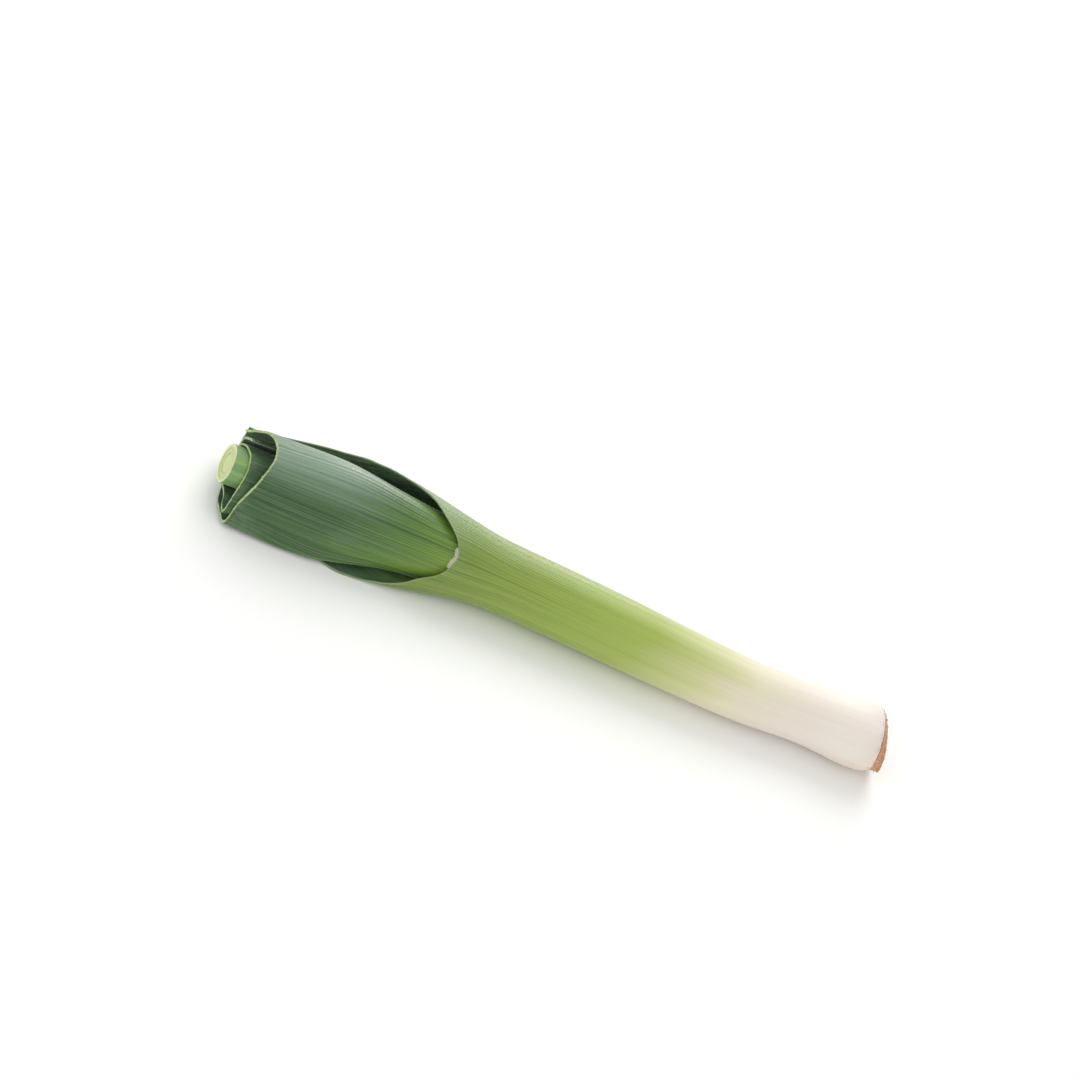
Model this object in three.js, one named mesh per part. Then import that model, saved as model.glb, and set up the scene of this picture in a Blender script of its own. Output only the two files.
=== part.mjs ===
// A leek, trimmed at both ends and lying on its side, in millimetres with +Z up.
//
// A leek is leaves inside leaves. Each leaf is a closed tube, its sheath, that stands on the
// root plate, and above its notch the tube opens into a blade folded round what it holds. The
// sheaths together are the white shank. The leek lies along X, its root plate at +X and its cut
// leaves at -X, and it rests on its bulb and on the soft flank of the outer leaf.
//
// A place on the leek is a station, its distance from the cut root face, and an angle round the
// leek's middle, in degrees from -Y over the top: 90 is the top and 270 the floor.

import * as THREE from 'three';

// Driving dimensions
const LENGTH = 340;
const GAP = 0.3;
const ROOT_PLATE_RADIUS = 14.3;
const ROOT_RIM_RADIUS = 14.9;
const ROOT_RIM_HEIGHT = 3.4;
const ROOT_DOME_HEIGHT = 5;
const ROOT_CUT_SLANT = 0.14;
const ROOT_CUT_MIDDLE = 1.6;
const ROOT_LEAN = 0.22;
const ROOT_LEAN_END = 30;
const HEART_FACE_SLANT = 0.22;
const HEART_REACH = 3;
const NOTCH_ANGLE = 44;

// The middle of the leek: station, y and z
const SPINE = [
  [0, -7.1, 17.1], [14, -7.9, 17.0], [45, -8.1, 16.3], [75, -9.3, 16.1], [110, -7.8, 16.5],
  [150, -4.9, 16.9], [190, -2.4, 17.2], [230, -0.6, 17.2], [280, 0, 16.9], [340, 0, 16.8],
];

// The outside of the shank: station and radius, with the bulb by the root plate
const SHANK = [
  [3.6, 14.7], [7, 16.3], [12, 17.1], [20, 16.9], [30, 15.8], [42, 15.0], [60, 15.0],
  [85, 15.4], [110, 15.8], [140, 16.3], [175, 16.5], [205, 16.7], [232, 17.3], [260, 18], [340, 18],
];

// The sheaths turn into blades between two stations, the outer one first
const OUTER_OPENING = [206, 280];
const INNER_OPENING = [222, 300];

// The blades swell and close in again towards the cut: station and size
const BUNDLE_SWELL = [[206, 1], [260, 1], [292, 1.03], [318, 1.0], [340, 0.95]];

// Stations of the rings of the hidden sheaths, of the blades and of the shank's outside
const SHEATH_STATIONS = [8, 14, 26, 45, 75, 110, 150, 190, 214, 232];
const OUTER_BLADE_STATIONS = [234, 236.5, 240, 244, 249, 255, 264, 276, 290, 305, 322, 340];
const INNER_BLADE_STATIONS = [246, 258, 262, 267, 274, 284, 298, 312, 326, 340];
const BULB_STATIONS = [4.8, 8, 12, 17, 24, 34, 48, 70, 100, 140, 180, 212, 232];
const CUT_BLEND_START = 294;

// The knife's slant stops short of the back of the leek
const CUT_BACK = -3;

// Each leaf, from the outside in. layer is how many sheaths lie over it. profile is the outside
// of its blade where the bundle is widest: angle and radius. margins are its two free edges
// past the notch: station and degrees from the notch. cut is where the knife went: its station
// at the leek's middle, its slant towards the notch side and towards the floor.
const LEAVES = [
  {
    name: 'outer_leaf', color: 0xb9c98f, layer: 0, thickness: 1.6, bladeThickness: 1.3, count: 36,
    notchAngle: NOTCH_ANGLE, notchStation: 232, floor: 0,
    upper: [[232, 0], [235, 21], [237, 29], [241, 41], [246, 54], [251, 67], [260, 81], [270, 90],
      [282, 96], [296, 106], [312, 119], [324, 123], [340, 122]],
    lower: [[232, 0], [236, 32], [245, 56], [250, 68], [258, 77], [268, 81], [280, 83], [290, 90],
      [300, 102], [340, 116]],
    profile: [[0, 20.4], [20, 19.6], [44, 20], [70, 22], [95, 24], [118, 25.4], [139, 25.6],
      [160, 23.8], [180, 23.2], [200, 24], [217, 24.4], [230, 22.4], [246, 18.6], [258, 17.4],
      [270, 17.1], [284, 17.9], [298, 20.8], [309, 24.6], [318, 26.8], [326, 27], [337, 25],
      [348, 22.2]],
    opening: OUTER_OPENING, bladeStations: OUTER_BLADE_STATIONS,
    cut: { station: 338, slant: 0.1, drop: 0.02 },
  },
  {
    name: 'second_leaf', color: 0x5f9a5c, layer: 1, thickness: 1.5, bladeThickness: 1.2, count: 36,
    notchAngle: 204, notchStation: 258, floor: 1.7,
    upper: [[258, 0], [262, 13], [267, 27], [274, 42], [284, 54], [298, 61], [340, 66]],
    lower: [[258, 0], [262, 13], [267, 26], [274, 38], [284, 48], [298, 54], [340, 58]],
    profile: [[0, 16.8], [16, 16.8], [28, 17.3], [38.6, 18.2], [46.7, 19.3], [58, 21.7],
      [68, 24.2], [76, 25.4], [84, 25.6], [92, 25.2], [101, 24], [112, 22], [122, 20.1],
      [133, 18.7], [150, 18.2], [170, 19], [190, 20], [210, 20.6], [222, 19.8], [235, 17.6],
      [246, 15.8], [258, 14.9], [270, 14.9], [284, 15.6], [298, 17], [312, 18.2], [330, 18],
      [345, 17.2]],
    opening: INNER_OPENING, bladeStations: INNER_BLADE_STATIONS,
    fold: { angle: 326, height: 8.6, before: 11, past: 11, from: 245, to: 307 },
    cut: { station: 338.5, slant: 0.6, drop: -0.01 },
  },
  {
    name: 'third_leaf', color: 0x4f8557, layer: 2, thickness: 1.4, bladeThickness: 1.1, count: 28,
    notchAngle: NOTCH_ANGLE, notchStation: 258, floor: 3.6,
    upper: [[258, 0], [262, 13], [267, 27], [274, 42], [284, 54], [298, 60], [340, 61]],
    lower: [[258, 0], [262, 15], [267, 32], [274, 52], [284, 78], [298, 100], [340, 114]],
    profile: [[0, 13.6], [20, 13.4], [44, 13.6], [70, 14.8], [90, 15.8], [105, 16], [118, 15.6],
      [132, 15.1], [150, 15.4], [170, 16.6], [190, 17.6], [210, 18], [222, 17.3], [235, 15.4],
      [246, 13.9], [258, 13.1], [270, 13.1], [284, 13.8], [298, 15.6], [310, 17.2], [320, 17.4],
      [332, 15.8], [346, 14.2]],
    opening: INNER_OPENING, bladeStations: INNER_BLADE_STATIONS,
    cut: { station: 338.5, slant: 0.2, drop: 0 },
  },
  {
    name: 'fourth_leaf', color: 0x4c8268, layer: 3, thickness: 1.2, bladeThickness: 1.0, count: 28,
    notchAngle: 204, floor: 5, creases: [308, 315, 320, 323, 325, 328, 333, 340],
    profile: [[0, 11.4], [90, 11.4], [180, 11.4], [270, 11.4]],
    opening: INNER_OPENING, bladeStations: INNER_BLADE_STATIONS,
    fold: { angle: 325, height: 11.5, before: 6, past: 17, from: 284, to: 322 },
    cut: { station: 339, slant: 0.4, drop: 0.02 },
  },
];

// The heart: the youngest leaves, still rolled up tight, each a plain tube in the next
const HEART_LEAVES = [
  { name: 'fifth_leaf', color: 0xb7d08a, radius: 9.35, hole: 7.5, count: 26, proud: 0 },
  { name: 'sixth_leaf', color: 0xdbe2ac, radius: 7.2, hole: 5.3, count: 20, proud: 0.15 },
  { name: 'heart', color: 0xe6e8bb, radius: 5.0, hole: 0, count: 16, proud: 0.3 },
];
const HEART_STATIONS = [...SHEATH_STATIONS, 268, 308];

// Root plate: roots cut short stand out round its rim and roughen its face
const ROOT_COUNT = 36;
const ROOT_BUMP = 0.55;
const ROOT_SEED = 7;

const radians = THREE.MathUtils.degToRad;
const { clamp, lerp, smoothstep } = THREE.MathUtils;

// A smooth curve through points of [x, value, ...], held level past its ends
function through(points, x, column = 1) {
  const last = points.length - 1;
  const at = clamp(x, points[0][0], points[last][0]);
  let i = 0;
  while (i < last - 1 && at > points[i + 1][0]) i += 1;
  const slope = (k) => {
    const before = points[Math.max(k - 1, 0)];
    const after = points[Math.min(k + 1, last)];
    return (after[column] - before[column]) / (after[0] - before[0]);
  };
  const [a, b] = [points[i], points[i + 1]];
  const span = b[0] - a[0];
  const t = (at - a[0]) / span;
  const rise = b[column] - a[column];
  const bend = (slope(i) * span - rise) * (1 - t) - (slope(i + 1) * span - rise) * t;
  return a[column] + rise * t + t * (1 - t) * bend;
}

// The same for a closed outline of [angle, radius]
function outline(profile, angle) {
  const turned = ((angle % 360) + 360) % 360;
  const sorted = profile.map(([a, r]) => [((a % 360) + 360) % 360, r]).sort((p, q) => p[0] - q[0]);
  const wrapped = [
    ...sorted.slice(-2).map(([a, r]) => [a - 360, r]),
    ...sorted,
    ...sorted.slice(0, 2).map(([a, r]) => [a + 360, r]),
  ];
  return through(wrapped, turned);
}

// The point at a station and angle, so far from the leek's middle and no lower than the floor.
// At the root end the rings lean back at the top.
function place(station, angle, radius, floor = 0) {
  const height = radius * Math.sin(radians(angle));
  const lean = ROOT_LEAN * height * (1 - smoothstep(station, 0, ROOT_LEAN_END));
  const y = through(SPINE, station, 1) - radius * Math.cos(radians(angle));
  const z = through(SPINE, station, 2) + height;
  return new THREE.Vector3(LENGTH / 2 - station - lean, y, Math.max(z, floor));
}

// How far a point stands towards the notch side and above the leek's middle
const towardsNotch = (angle, radius) => radius * Math.cos(radians(angle - NOTCH_ANGLE));
const towardsTop = (angle, radius) => radius * Math.sin(radians(angle));

// The foot of a sheath clears the dome of the root plate
function domeStation(radius) {
  return ROOT_RIM_HEIGHT + ROOT_DOME_HEIGHT * (1 - (radius / ROOT_PLATE_RADIUS) ** 2);
}

// How much the sheaths outside a leaf take off its radius
function depthUnder(layer) {
  let depth = 0;
  for (let i = 0; i < layer; i += 1) depth += LEAVES[i].thickness + GAP;
  return depth;
}

// The outside radius of a leaf at a station and angle, on its sheath, blade or between
function leafRadius(leaf, station, angle) {
  const sheath = through(SHANK, station) - depthUnder(leaf.layer);
  const blade = outline(leaf.profile, angle) * through(BUNDLE_SWELL, station);
  return lerp(sheath, blade, smoothstep(station, ...leaf.opening)) + foldHeight(leaf, station, angle);
}

// A leaf may carry one sharp fold, where its keel stands off the leaves inside. The fold falls
// to half its height at so many degrees before and past its crest.
function foldHeight({ fold }, station, angle) {
  if (!fold) return 0;
  const turned = (((angle - fold.angle) % 360) + 540) % 360 - 180;
  const width = turned < 0 ? fold.before : fold.past;
  return fold.height * smoothstep(station, fold.from, fold.to) / (1 + (turned / width) ** 2);
}

function leafThickness(leaf, station) {
  const blend = smoothstep(station, ...leaf.opening);
  return lerp(leaf.thickness, leaf.bladeThickness, blend);
}

// The angles of the points round a leaf, from its notch all the way round, closer at creases
function ringAngles(leaf) {
  const angles = [];
  const step = 360 / leaf.count;
  for (let i = 0; i <= leaf.count; i += 1) angles.push(leaf.notchAngle + i * step);
  for (const crease of leaf.creases ?? []) {
    const near = crease < leaf.notchAngle ? crease + 360 : crease;
    const nearest = angles.findIndex((a) => Math.abs(a - near) < 1);
    if (nearest < 0) angles.push(near);
  }
  return angles.sort((p, q) => p - q);
}

// Past the notch the ring narrows to what lies between the leaf's two margins
function openAngle(leaf, station, angle) {
  if (!leaf.notchStation) return angle;
  const share = (angle - leaf.notchAngle) / 360;
  const from = leaf.notchAngle + through(leaf.upper, station);
  const to = leaf.notchAngle + 360 - through(leaf.lower, station);
  return lerp(from, to, share);
}

// A blade's last rings lean over until the last one lies on the knife's cut
function cutStation(leaf, station, angle, radius) {
  const { slant, drop } = leaf.cut;
  const depth = Math.max(towardsNotch(angle, radius), CUT_BACK);
  const end = leaf.cut.station - slant * depth - drop * towardsTop(angle, radius);
  const share = clamp((station - CUT_BLEND_START) / (LENGTH - CUT_BLEND_START), 0, 1);
  return lerp(station, end, share);
}

// At its foot a sheath lies on the straight line between the bulb's first two rings
function footRadius(leaf, station) {
  const [from, to] = [BULB_STATIONS[0], SHEATH_STATIONS[0]];
  const share = (station - from) / (to - from);
  return lerp(through(SHANK, from), through(SHANK, to), share) - depthUnder(leaf.layer);
}

// Rings of points over the outside or the inside of a leaf
function leafRings(leaf, stations, angles, inside) {
  return stations.map((station) => angles.map((turn) => {
    const angle = openAngle(leaf, station, turn);
    const thickness = inside ? leafThickness(leaf, station) : 0;
    const outside = station < SHEATH_STATIONS[0] && leaf.layer > 0
      ? footRadius(leaf, station) : leafRadius(leaf, station, angle);
    const radius = outside - thickness;
    const along = cutStation(leaf, station, angle, radius);
    return place(along, angle, radius, leaf.floor + thickness);
  }));
}

// Collects triangles by their corner points
class Shell {
  constructor() {
    this.positions = [];
    this.indices = [];
    this.known = new Map();
  }

  corner(point) {
    const key = point.toArray().map((v) => Math.round(v * 1e4)).join();
    if (!this.known.has(key)) {
      this.known.set(key, this.positions.length / 3);
      this.positions.push(point.x, point.y, point.z);
    }
    return this.known.get(key);
  }

  triangle(a, b, c) {
    const [i, j, k] = [this.corner(a), this.corner(b), this.corner(c)];
    if (i !== j && j !== k && k !== i) this.indices.push(i, j, k);
  }

  quad(a, b, c, d) {
    this.triangle(a, b, c);
    this.triangle(a, c, d);
  }

  // The surface between two rings of equal length
  band(first, second) {
    for (let j = 0; j < first.length - 1; j += 1) {
      this.quad(first[j], first[j + 1], second[j + 1], second[j]);
    }
  }

  sheet(rings) {
    for (let i = 0; i < rings.length - 1; i += 1) this.band(rings[i], rings[i + 1]);
  }

  fan(ring, centre) {
    for (let j = 0; j < ring.length - 1; j += 1) this.triangle(ring[j], ring[j + 1], centre);
  }

  mesh(name, color, roughness) {
    const geometry = new THREE.BufferGeometry();
    geometry.setAttribute('position', new THREE.Float32BufferAttribute(this.positions, 3));
    geometry.setIndex(this.indices);
    geometry.computeVertexNormals();
    const material = new THREE.MeshStandardMaterial({ color, roughness, metalness: 0 });
    const mesh = new THREE.Mesh(geometry, material);
    mesh.name = name;
    return mesh;
  }
}

// One big leaf: a sheath on the root plate, a notch, and a blade cut off at its end
function makeLeaf(leaf) {
  const angles = ringAngles(leaf);
  const hole = footRadius(leaf, BULB_STATIONS[0]) - leaf.thickness;
  const foot = leaf.layer === 0 ? BULB_STATIONS[0] : domeStation(hole) + GAP;
  const hidden = [foot, ...SHEATH_STATIONS];
  const shown = leaf.layer === 0 ? BULB_STATIONS : hidden;
  const blade = leaf.bladeStations;
  const outer = leafRings(leaf, [...shown, ...blade], angles, false);
  const inner = leafRings(leaf, [...hidden, ...blade], angles, true);

  const shell = new Shell();
  shell.sheet(outer);
  shell.sheet([...inner].reverse());
  shell.band(inner[0], outer[0]);
  shell.band(outer.at(-1), inner.at(-1));

  // The two margins past the notch
  if (leaf.notchStation) {
    const open = blade.filter((station) => station > leaf.notchStation).length + 1;
    const [outerBlade, innerBlade] = [outer.slice(-open), inner.slice(-open)];
    const upper = [outerBlade.map((ring) => ring[0]), innerBlade.map((ring) => ring[0])];
    const lower = [outerBlade.map((ring) => ring.at(-1)), innerBlade.map((ring) => ring.at(-1))];
    shell.band(upper[0], upper[1]);
    shell.band(lower[1], lower[0]);
  }
  return shell.mesh(leaf.name, leaf.color, 0.5);
}

// One leaf of the heart: a plain tube, or a rod in the middle, cut on the slant
function makeHeartLeaf({ name, color, radius, hole, count, proud }) {
  const ringAt = (station, size) => Array.from({ length: count + 1 }, (_, i) => {
    const angle = (360 * (i % count)) / count;
    const lean = HEART_FACE_SLANT * towardsNotch(angle, size);
    const along = station >= LENGTH ? LENGTH + HEART_REACH - proud - lean : station;
    return place(along, angle, size);
  });
  const foot = domeStation(hole) + GAP;
  const room = (station) => through(SHANK, station) - depthUnder(LEAVES.length);
  const narrow = (station) => Math.min(1, room(station) / HEART_LEAVES[0].radius);
  const stations = [foot, ...HEART_STATIONS, LENGTH];
  const outer = stations.map((station) => ringAt(station, radius * narrow(station)));
  const shell = new Shell();
  shell.sheet(outer);
  if (hole > 0) {
    const inner = stations.map((station) => ringAt(station, hole * narrow(station)));
    shell.sheet([...inner].reverse());
    shell.band(inner[0], outer[0]);
    shell.band(outer.at(-1), inner.at(-1));
  } else {
    shell.fan(outer.at(-1), place(LENGTH + HEART_REACH - proud, 0, 0));
    shell.fan([...outer[0]].reverse(), place(foot, 0, 0));
  }
  return shell.mesh(name, color, 0.55);
}

// The root plate: a slanting cut face, a ragged rim of cut roots and a dome under the sheaths
function makeRootPlate() {
  let state = ROOT_SEED;
  const draw = () => {
    state = (state * 16807) % 2147483647;
    return state / 2147483647 - 0.5;
  };
  const count = ROOT_COUNT;
  // A ring on the slanting cut where height is left out, and otherwise at that station
  const ring = (radius, bump, height) => {
    const points = Array.from({ length: count }, (_, i) => {
      const angle = (360 * i) / count;
      const size = radius + 2 * bump * draw();
      const lean = ROOT_CUT_SLANT * size * Math.cos(radians(angle - NOTCH_ANGLE - 90));
      return place(height ?? ROOT_CUT_MIDDLE + lean + bump * draw(), angle, size);
    });
    return [...points, points[0]];
  };
  const face = [3, 6, 9, 11.6].map((radius) => ring(radius, ROOT_BUMP));
  const rim = ring(ROOT_RIM_RADIUS - 0.5, ROOT_BUMP);
  const side = ring(ROOT_RIM_RADIUS, ROOT_BUMP * 0.4, ROOT_RIM_HEIGHT + 0.9);
  const dome = [12.4, 9, 5].map((radius) => ring(radius, 0, domeStation(radius)));
  const rings = [...face, rim, side, ...dome];
  const shell = new Shell();
  shell.sheet(rings);
  shell.fan([...face[0]].reverse(), place(ROOT_CUT_MIDDLE, 0, 0));
  shell.fan(dome.at(-1), place(domeStation(0), 0, 0));
  return shell.mesh('root_plate', 0xc49a6c, 0.9);
}

const leek = new THREE.Group();
leek.name = 'leek';
leek.add(makeRootPlate());
for (const leaf of LEAVES) leek.add(makeLeaf(leaf));
for (const leaf of HEART_LEAVES) leek.add(makeHeartLeaf(leaf));

export default leek;
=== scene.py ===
"""A leek, trimmed at both ends and laid on its side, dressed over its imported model.

Every size is in millimetres until a point is placed, and a placed point is in metres in the
model's own frame. A place on the leek is a station, its distance from the cut root face, and an
angle round the leek's middle, in degrees from -Y over the top: 90 is the top, 270 the floor.
"""

import logging
import math
from dataclasses import dataclass, field
from enum import Enum
from typing import Optional, Sequence

import bpy
import numpy as np
from mathutils import Matrix, Vector

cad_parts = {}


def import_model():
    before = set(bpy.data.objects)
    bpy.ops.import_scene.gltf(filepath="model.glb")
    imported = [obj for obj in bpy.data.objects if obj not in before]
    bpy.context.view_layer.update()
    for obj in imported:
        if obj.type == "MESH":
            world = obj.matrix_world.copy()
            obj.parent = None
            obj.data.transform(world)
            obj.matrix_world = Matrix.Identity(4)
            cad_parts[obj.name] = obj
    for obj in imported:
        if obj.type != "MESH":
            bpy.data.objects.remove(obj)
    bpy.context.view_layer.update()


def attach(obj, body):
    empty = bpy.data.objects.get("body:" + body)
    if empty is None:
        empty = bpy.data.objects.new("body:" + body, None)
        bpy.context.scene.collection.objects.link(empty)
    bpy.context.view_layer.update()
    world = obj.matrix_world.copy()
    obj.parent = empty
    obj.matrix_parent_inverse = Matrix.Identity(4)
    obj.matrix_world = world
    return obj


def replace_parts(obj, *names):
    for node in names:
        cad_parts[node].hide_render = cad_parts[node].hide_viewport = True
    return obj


MM = 0.001
LOG = logging.getLogger("leek")
Points = tuple[tuple[float, float], ...]
Triple = tuple[float, float, float]
Colour = tuple[float, float, float, float]
Ramp = tuple[tuple[float, str], ...]
Socket = bpy.types.NodeSocket

# Up to each station: the spacing of the outer leaf's rings, then of the other big leaves' rings.
RING_SPACING = ((24.0, 0.8, 3.0), (214.0, 4.0, 9.0), (300.0, 1.0, 1.0), (336.0, 1.5, 1.5))
LAST_RINGS = (337.5, 338.6, 339.3, 339.7, 340.0)
# Waves round a big leaf: its ribs, its slow unevenness and its ragged cut.
RIB_WAVES = (47, 61, 73, 90)
SLOW_WAVES = (5, 8, 11)
CUT_WAVES = (7, 17, 29, 43)
# The radius, in mm, of the straight tube on which the outer leaf's veins are drawn.
TUBE_RADIUS = 16.0
# A distance, in mm, that is nowhere near a leaf's margin.
FAR = 99.0
# Where the rings of the heart's face stop, and the radius that its marks are shares of, in mm.
TIP_RADIUS = 0.4
FACE_MARK = 10.0
# A cut root: shares of its length, each with its share of the root's width, and points round it.
STUB_PROFILE = ((-0.7, 1.2), (0.0, 1.1), (0.5, 0.95), (0.9, 0.85), (1.0, 0.6))
STUB_POINTS = 10
FLOOR_CORNERS = ((-1, -1), (1, -1), (1, 1), (-1, 1))


class Slot(Enum):
    """The material slots that the record names."""

    OUTER_LEAF = "outer_leaf"
    INNER_LEAVES = "inner_leaves"
    HEART = "heart"
    ROOT_PLATE = "root_plate"


class Side(Enum):
    """The two faces of a leaf."""

    OUTSIDE = 0.0
    INSIDE = 1.0


def colour(code: str) -> Colour:
    """Turns a screen colour into the linear colour that a shader takes.

    Args:
        code: Six digits for red, green and blue, such as "b9c98f".

    Returns:
        The red, green and blue, and 1 for a solid colour.
    """
    parts = [int(code[i : i + 2], 16) / 255 for i in (0, 2, 4)]
    line = [p / 12.92 if p <= 0.04045 else ((p + 0.055) / 1.055) ** 2.4 for p in parts]
    return (line[0], line[1], line[2], 1.0)


def through(points: Points, x: np.ndarray) -> np.ndarray:
    """A smooth curve through points, held level past its ends.

    Args:
        points: The x and y of each point, with x rising.
        x: Where the curve is read.

    Returns:
        The curve's height at each x.
    """
    table = np.asarray(points, float)
    xs, ys = table[:, 0], table[:, 1]
    at = np.clip(x, xs[0], xs[-1])
    i = np.clip(np.searchsorted(xs, at, side="left") - 1, 0, len(xs) - 2)
    order = np.arange(len(xs))
    before, after = np.maximum(order - 1, 0), np.minimum(order + 1, len(xs) - 1)
    slope = (ys[after] - ys[before]) / (xs[after] - xs[before])
    span, rise = xs[i + 1] - xs[i], ys[i + 1] - ys[i]
    t = (at - xs[i]) / span
    bend = (slope[i] * span - rise) * (1 - t) - (slope[i + 1] * span - rise) * t
    return ys[i] + rise * t + t * (1 - t) * bend


def outline(profile: Points, angle: np.ndarray) -> np.ndarray:
    """Reads the radius of a closed outline.

    Args:
        profile: The outline's angles, in degrees, and the radius at each.
        angle: Where it is read, in degrees.

    Returns:
        The radius at each angle.
    """
    points = sorted((a % 360, r) for a, r in profile)
    head = [(a + 360, r) for a, r in points[:2]]
    tail = [(a - 360, r) for a, r in points[-2:]]
    return through(tuple(tail + points + head), np.mod(angle, 360))


def smoothstep(x: np.ndarray, start: float, end: float) -> np.ndarray:
    """Rises smoothly from 0 at start to 1 at end."""
    t = np.clip((x - start) / (end - start), 0, 1)
    return t * t * (3 - 2 * t)


def ripple(turn: np.ndarray, seed: int, counts: Sequence[int]) -> np.ndarray:
    """A wavy line round a ring, the same at 0 and 360 degrees.

    Args:
        turn: Angles in degrees.
        seed: Which of the endless such lines this is.
        counts: How many waves of each sort go round.

    Returns:
        A height between about -1 and 1 at each angle.
    """
    rng = np.random.default_rng(seed)
    total = np.zeros_like(turn)
    for count in counts:
        total += rng.uniform(0.5, 1) * np.cos(np.radians(turn) * count + rng.uniform(0, 6.28))
    return total / len(counts)


def together(rows: tuple[int, ...], *values: object) -> np.ndarray:
    """Joins numbers into vectors, each number spread over the same rows of points."""
    return np.stack([np.broadcast_to(value, rows) for value in values], axis=-1)


def into_scene(name: str, data: bpy.types.ID) -> bpy.types.Object:
    """Makes an object and puts it in the scene.

    Args:
        name: The object's name.
        data: Its mesh, light or camera.

    Returns:
        The object.
    """
    made = bpy.data.objects.new(name, data)
    bpy.context.scene.collection.objects.link(made)
    return made


@dataclass(frozen=True)
class Leek:
    """The lie and girth of the whole leek, which every leaf follows."""

    length: float = 340.0
    gap: float = 0.3
    foot_station: float = 4.8
    notch_angle: float = 44.0
    root_radius: float = 14.3
    root_rim_radius: float = 14.9
    root_rim_height: float = 3.4
    root_dome_height: float = 5.0
    root_cut_slant: float = 0.14
    root_cut_middle: float = 1.6
    root_lean: float = 0.22
    root_lean_end: float = 30.0
    spine_y: Points = (
        (0, -7.1), (14, -7.9), (45, -8.1), (75, -9.3), (110, -7.8),
        (150, -4.9), (190, -2.4), (230, -0.6), (280, 0), (340, 0),
    )
    spine_z: Points = (
        (0, 17.1), (14, 17.0), (45, 16.3), (75, 16.1), (110, 16.5),
        (150, 16.9), (190, 17.2), (230, 17.2), (280, 16.9), (340, 16.8),
    )
    shank: Points = (
        (3.6, 14.7), (7, 16.3), (12, 17.1), (20, 16.9), (30, 15.8), (42, 15.0), (60, 15.0),
        (85, 15.4), (110, 15.8), (140, 16.3), (175, 16.5), (205, 16.7), (232, 17.3),
        (260, 18), (340, 18),
    )
    swell: Points = ((206, 1), (260, 1), (292, 1.03), (318, 1.0), (340, 0.95))

    def place(
        self, station: np.ndarray, angle: np.ndarray, radius: np.ndarray, floor: float = 0.0
    ) -> np.ndarray:
        """Places points on the leek.

        Args:
            station: Distance from the root face, in mm.
            angle: Degrees round the leek's middle.
            radius: Distance from the leek's middle, in mm.
            floor: The height that no point is under, in mm.

        Returns:
            Points in metres, with one more axis than station.
        """
        station, angle, radius = np.broadcast_arrays(station, angle, radius)
        turn = np.radians(angle)
        height = radius * np.sin(turn)
        lean = self.root_lean * height * (1 - smoothstep(station, 0, self.root_lean_end))
        y = through(self.spine_y, station) - radius * np.cos(turn)
        z = through(self.spine_z, station) + height
        return np.stack([self.length / 2 - station - lean, y, np.maximum(z, floor)], axis=-1) * MM

    def towards_notch(self, angle: np.ndarray, radius: np.ndarray) -> np.ndarray:
        """How far points stand towards the side where the outer leaf opens."""
        return radius * np.cos(np.radians(angle - self.notch_angle))

    def dome_station(self, radius: float) -> float:
        """Where the root plate's dome is at a radius."""
        return self.root_rim_height + self.root_dome_height * (1 - (radius / self.root_radius) ** 2)


@dataclass(frozen=True)
class Fold:
    """A sharp fold, where a leaf's keel stands off the leaves inside it.

    Its width is the degrees at which half its height is left, before and past its crest.
    """

    angle: float
    height: float
    before: float
    past: float
    start: float
    end: float

    def lift(self, station: np.ndarray, angle: np.ndarray) -> np.ndarray:
        """How far the fold lifts the leaf.

        Args:
            station: Distance from the root face, in mm.
            angle: Degrees round the leek's middle.

        Returns:
            The lift at each place, in mm.
        """
        turned = np.mod(angle - self.angle + 180, 360) - 180
        width = np.where(turned < 0, self.before, self.past)
        raised = self.height * smoothstep(station, self.start, self.end)
        return raised / (1 + (turned / width) ** 2)


@dataclass(frozen=True)
class Cut:
    """Where the knife went through a leaf.

    The cut crosses the leek's middle at its station. It slants by so many mm for each mm towards
    the notch, as far back as the place called back, and drops by so many for each mm upwards.
    Rings lean over more and more from blend_start, and from straight_start they run straight to
    the cut, which is ragged by so many mm.
    """

    station: float
    slant: float
    drop: float = 0.0
    back: float = -3.0
    blend_start: float = 294.0
    straight_start: float = 326.0
    ragged: float = 0.2


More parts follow.
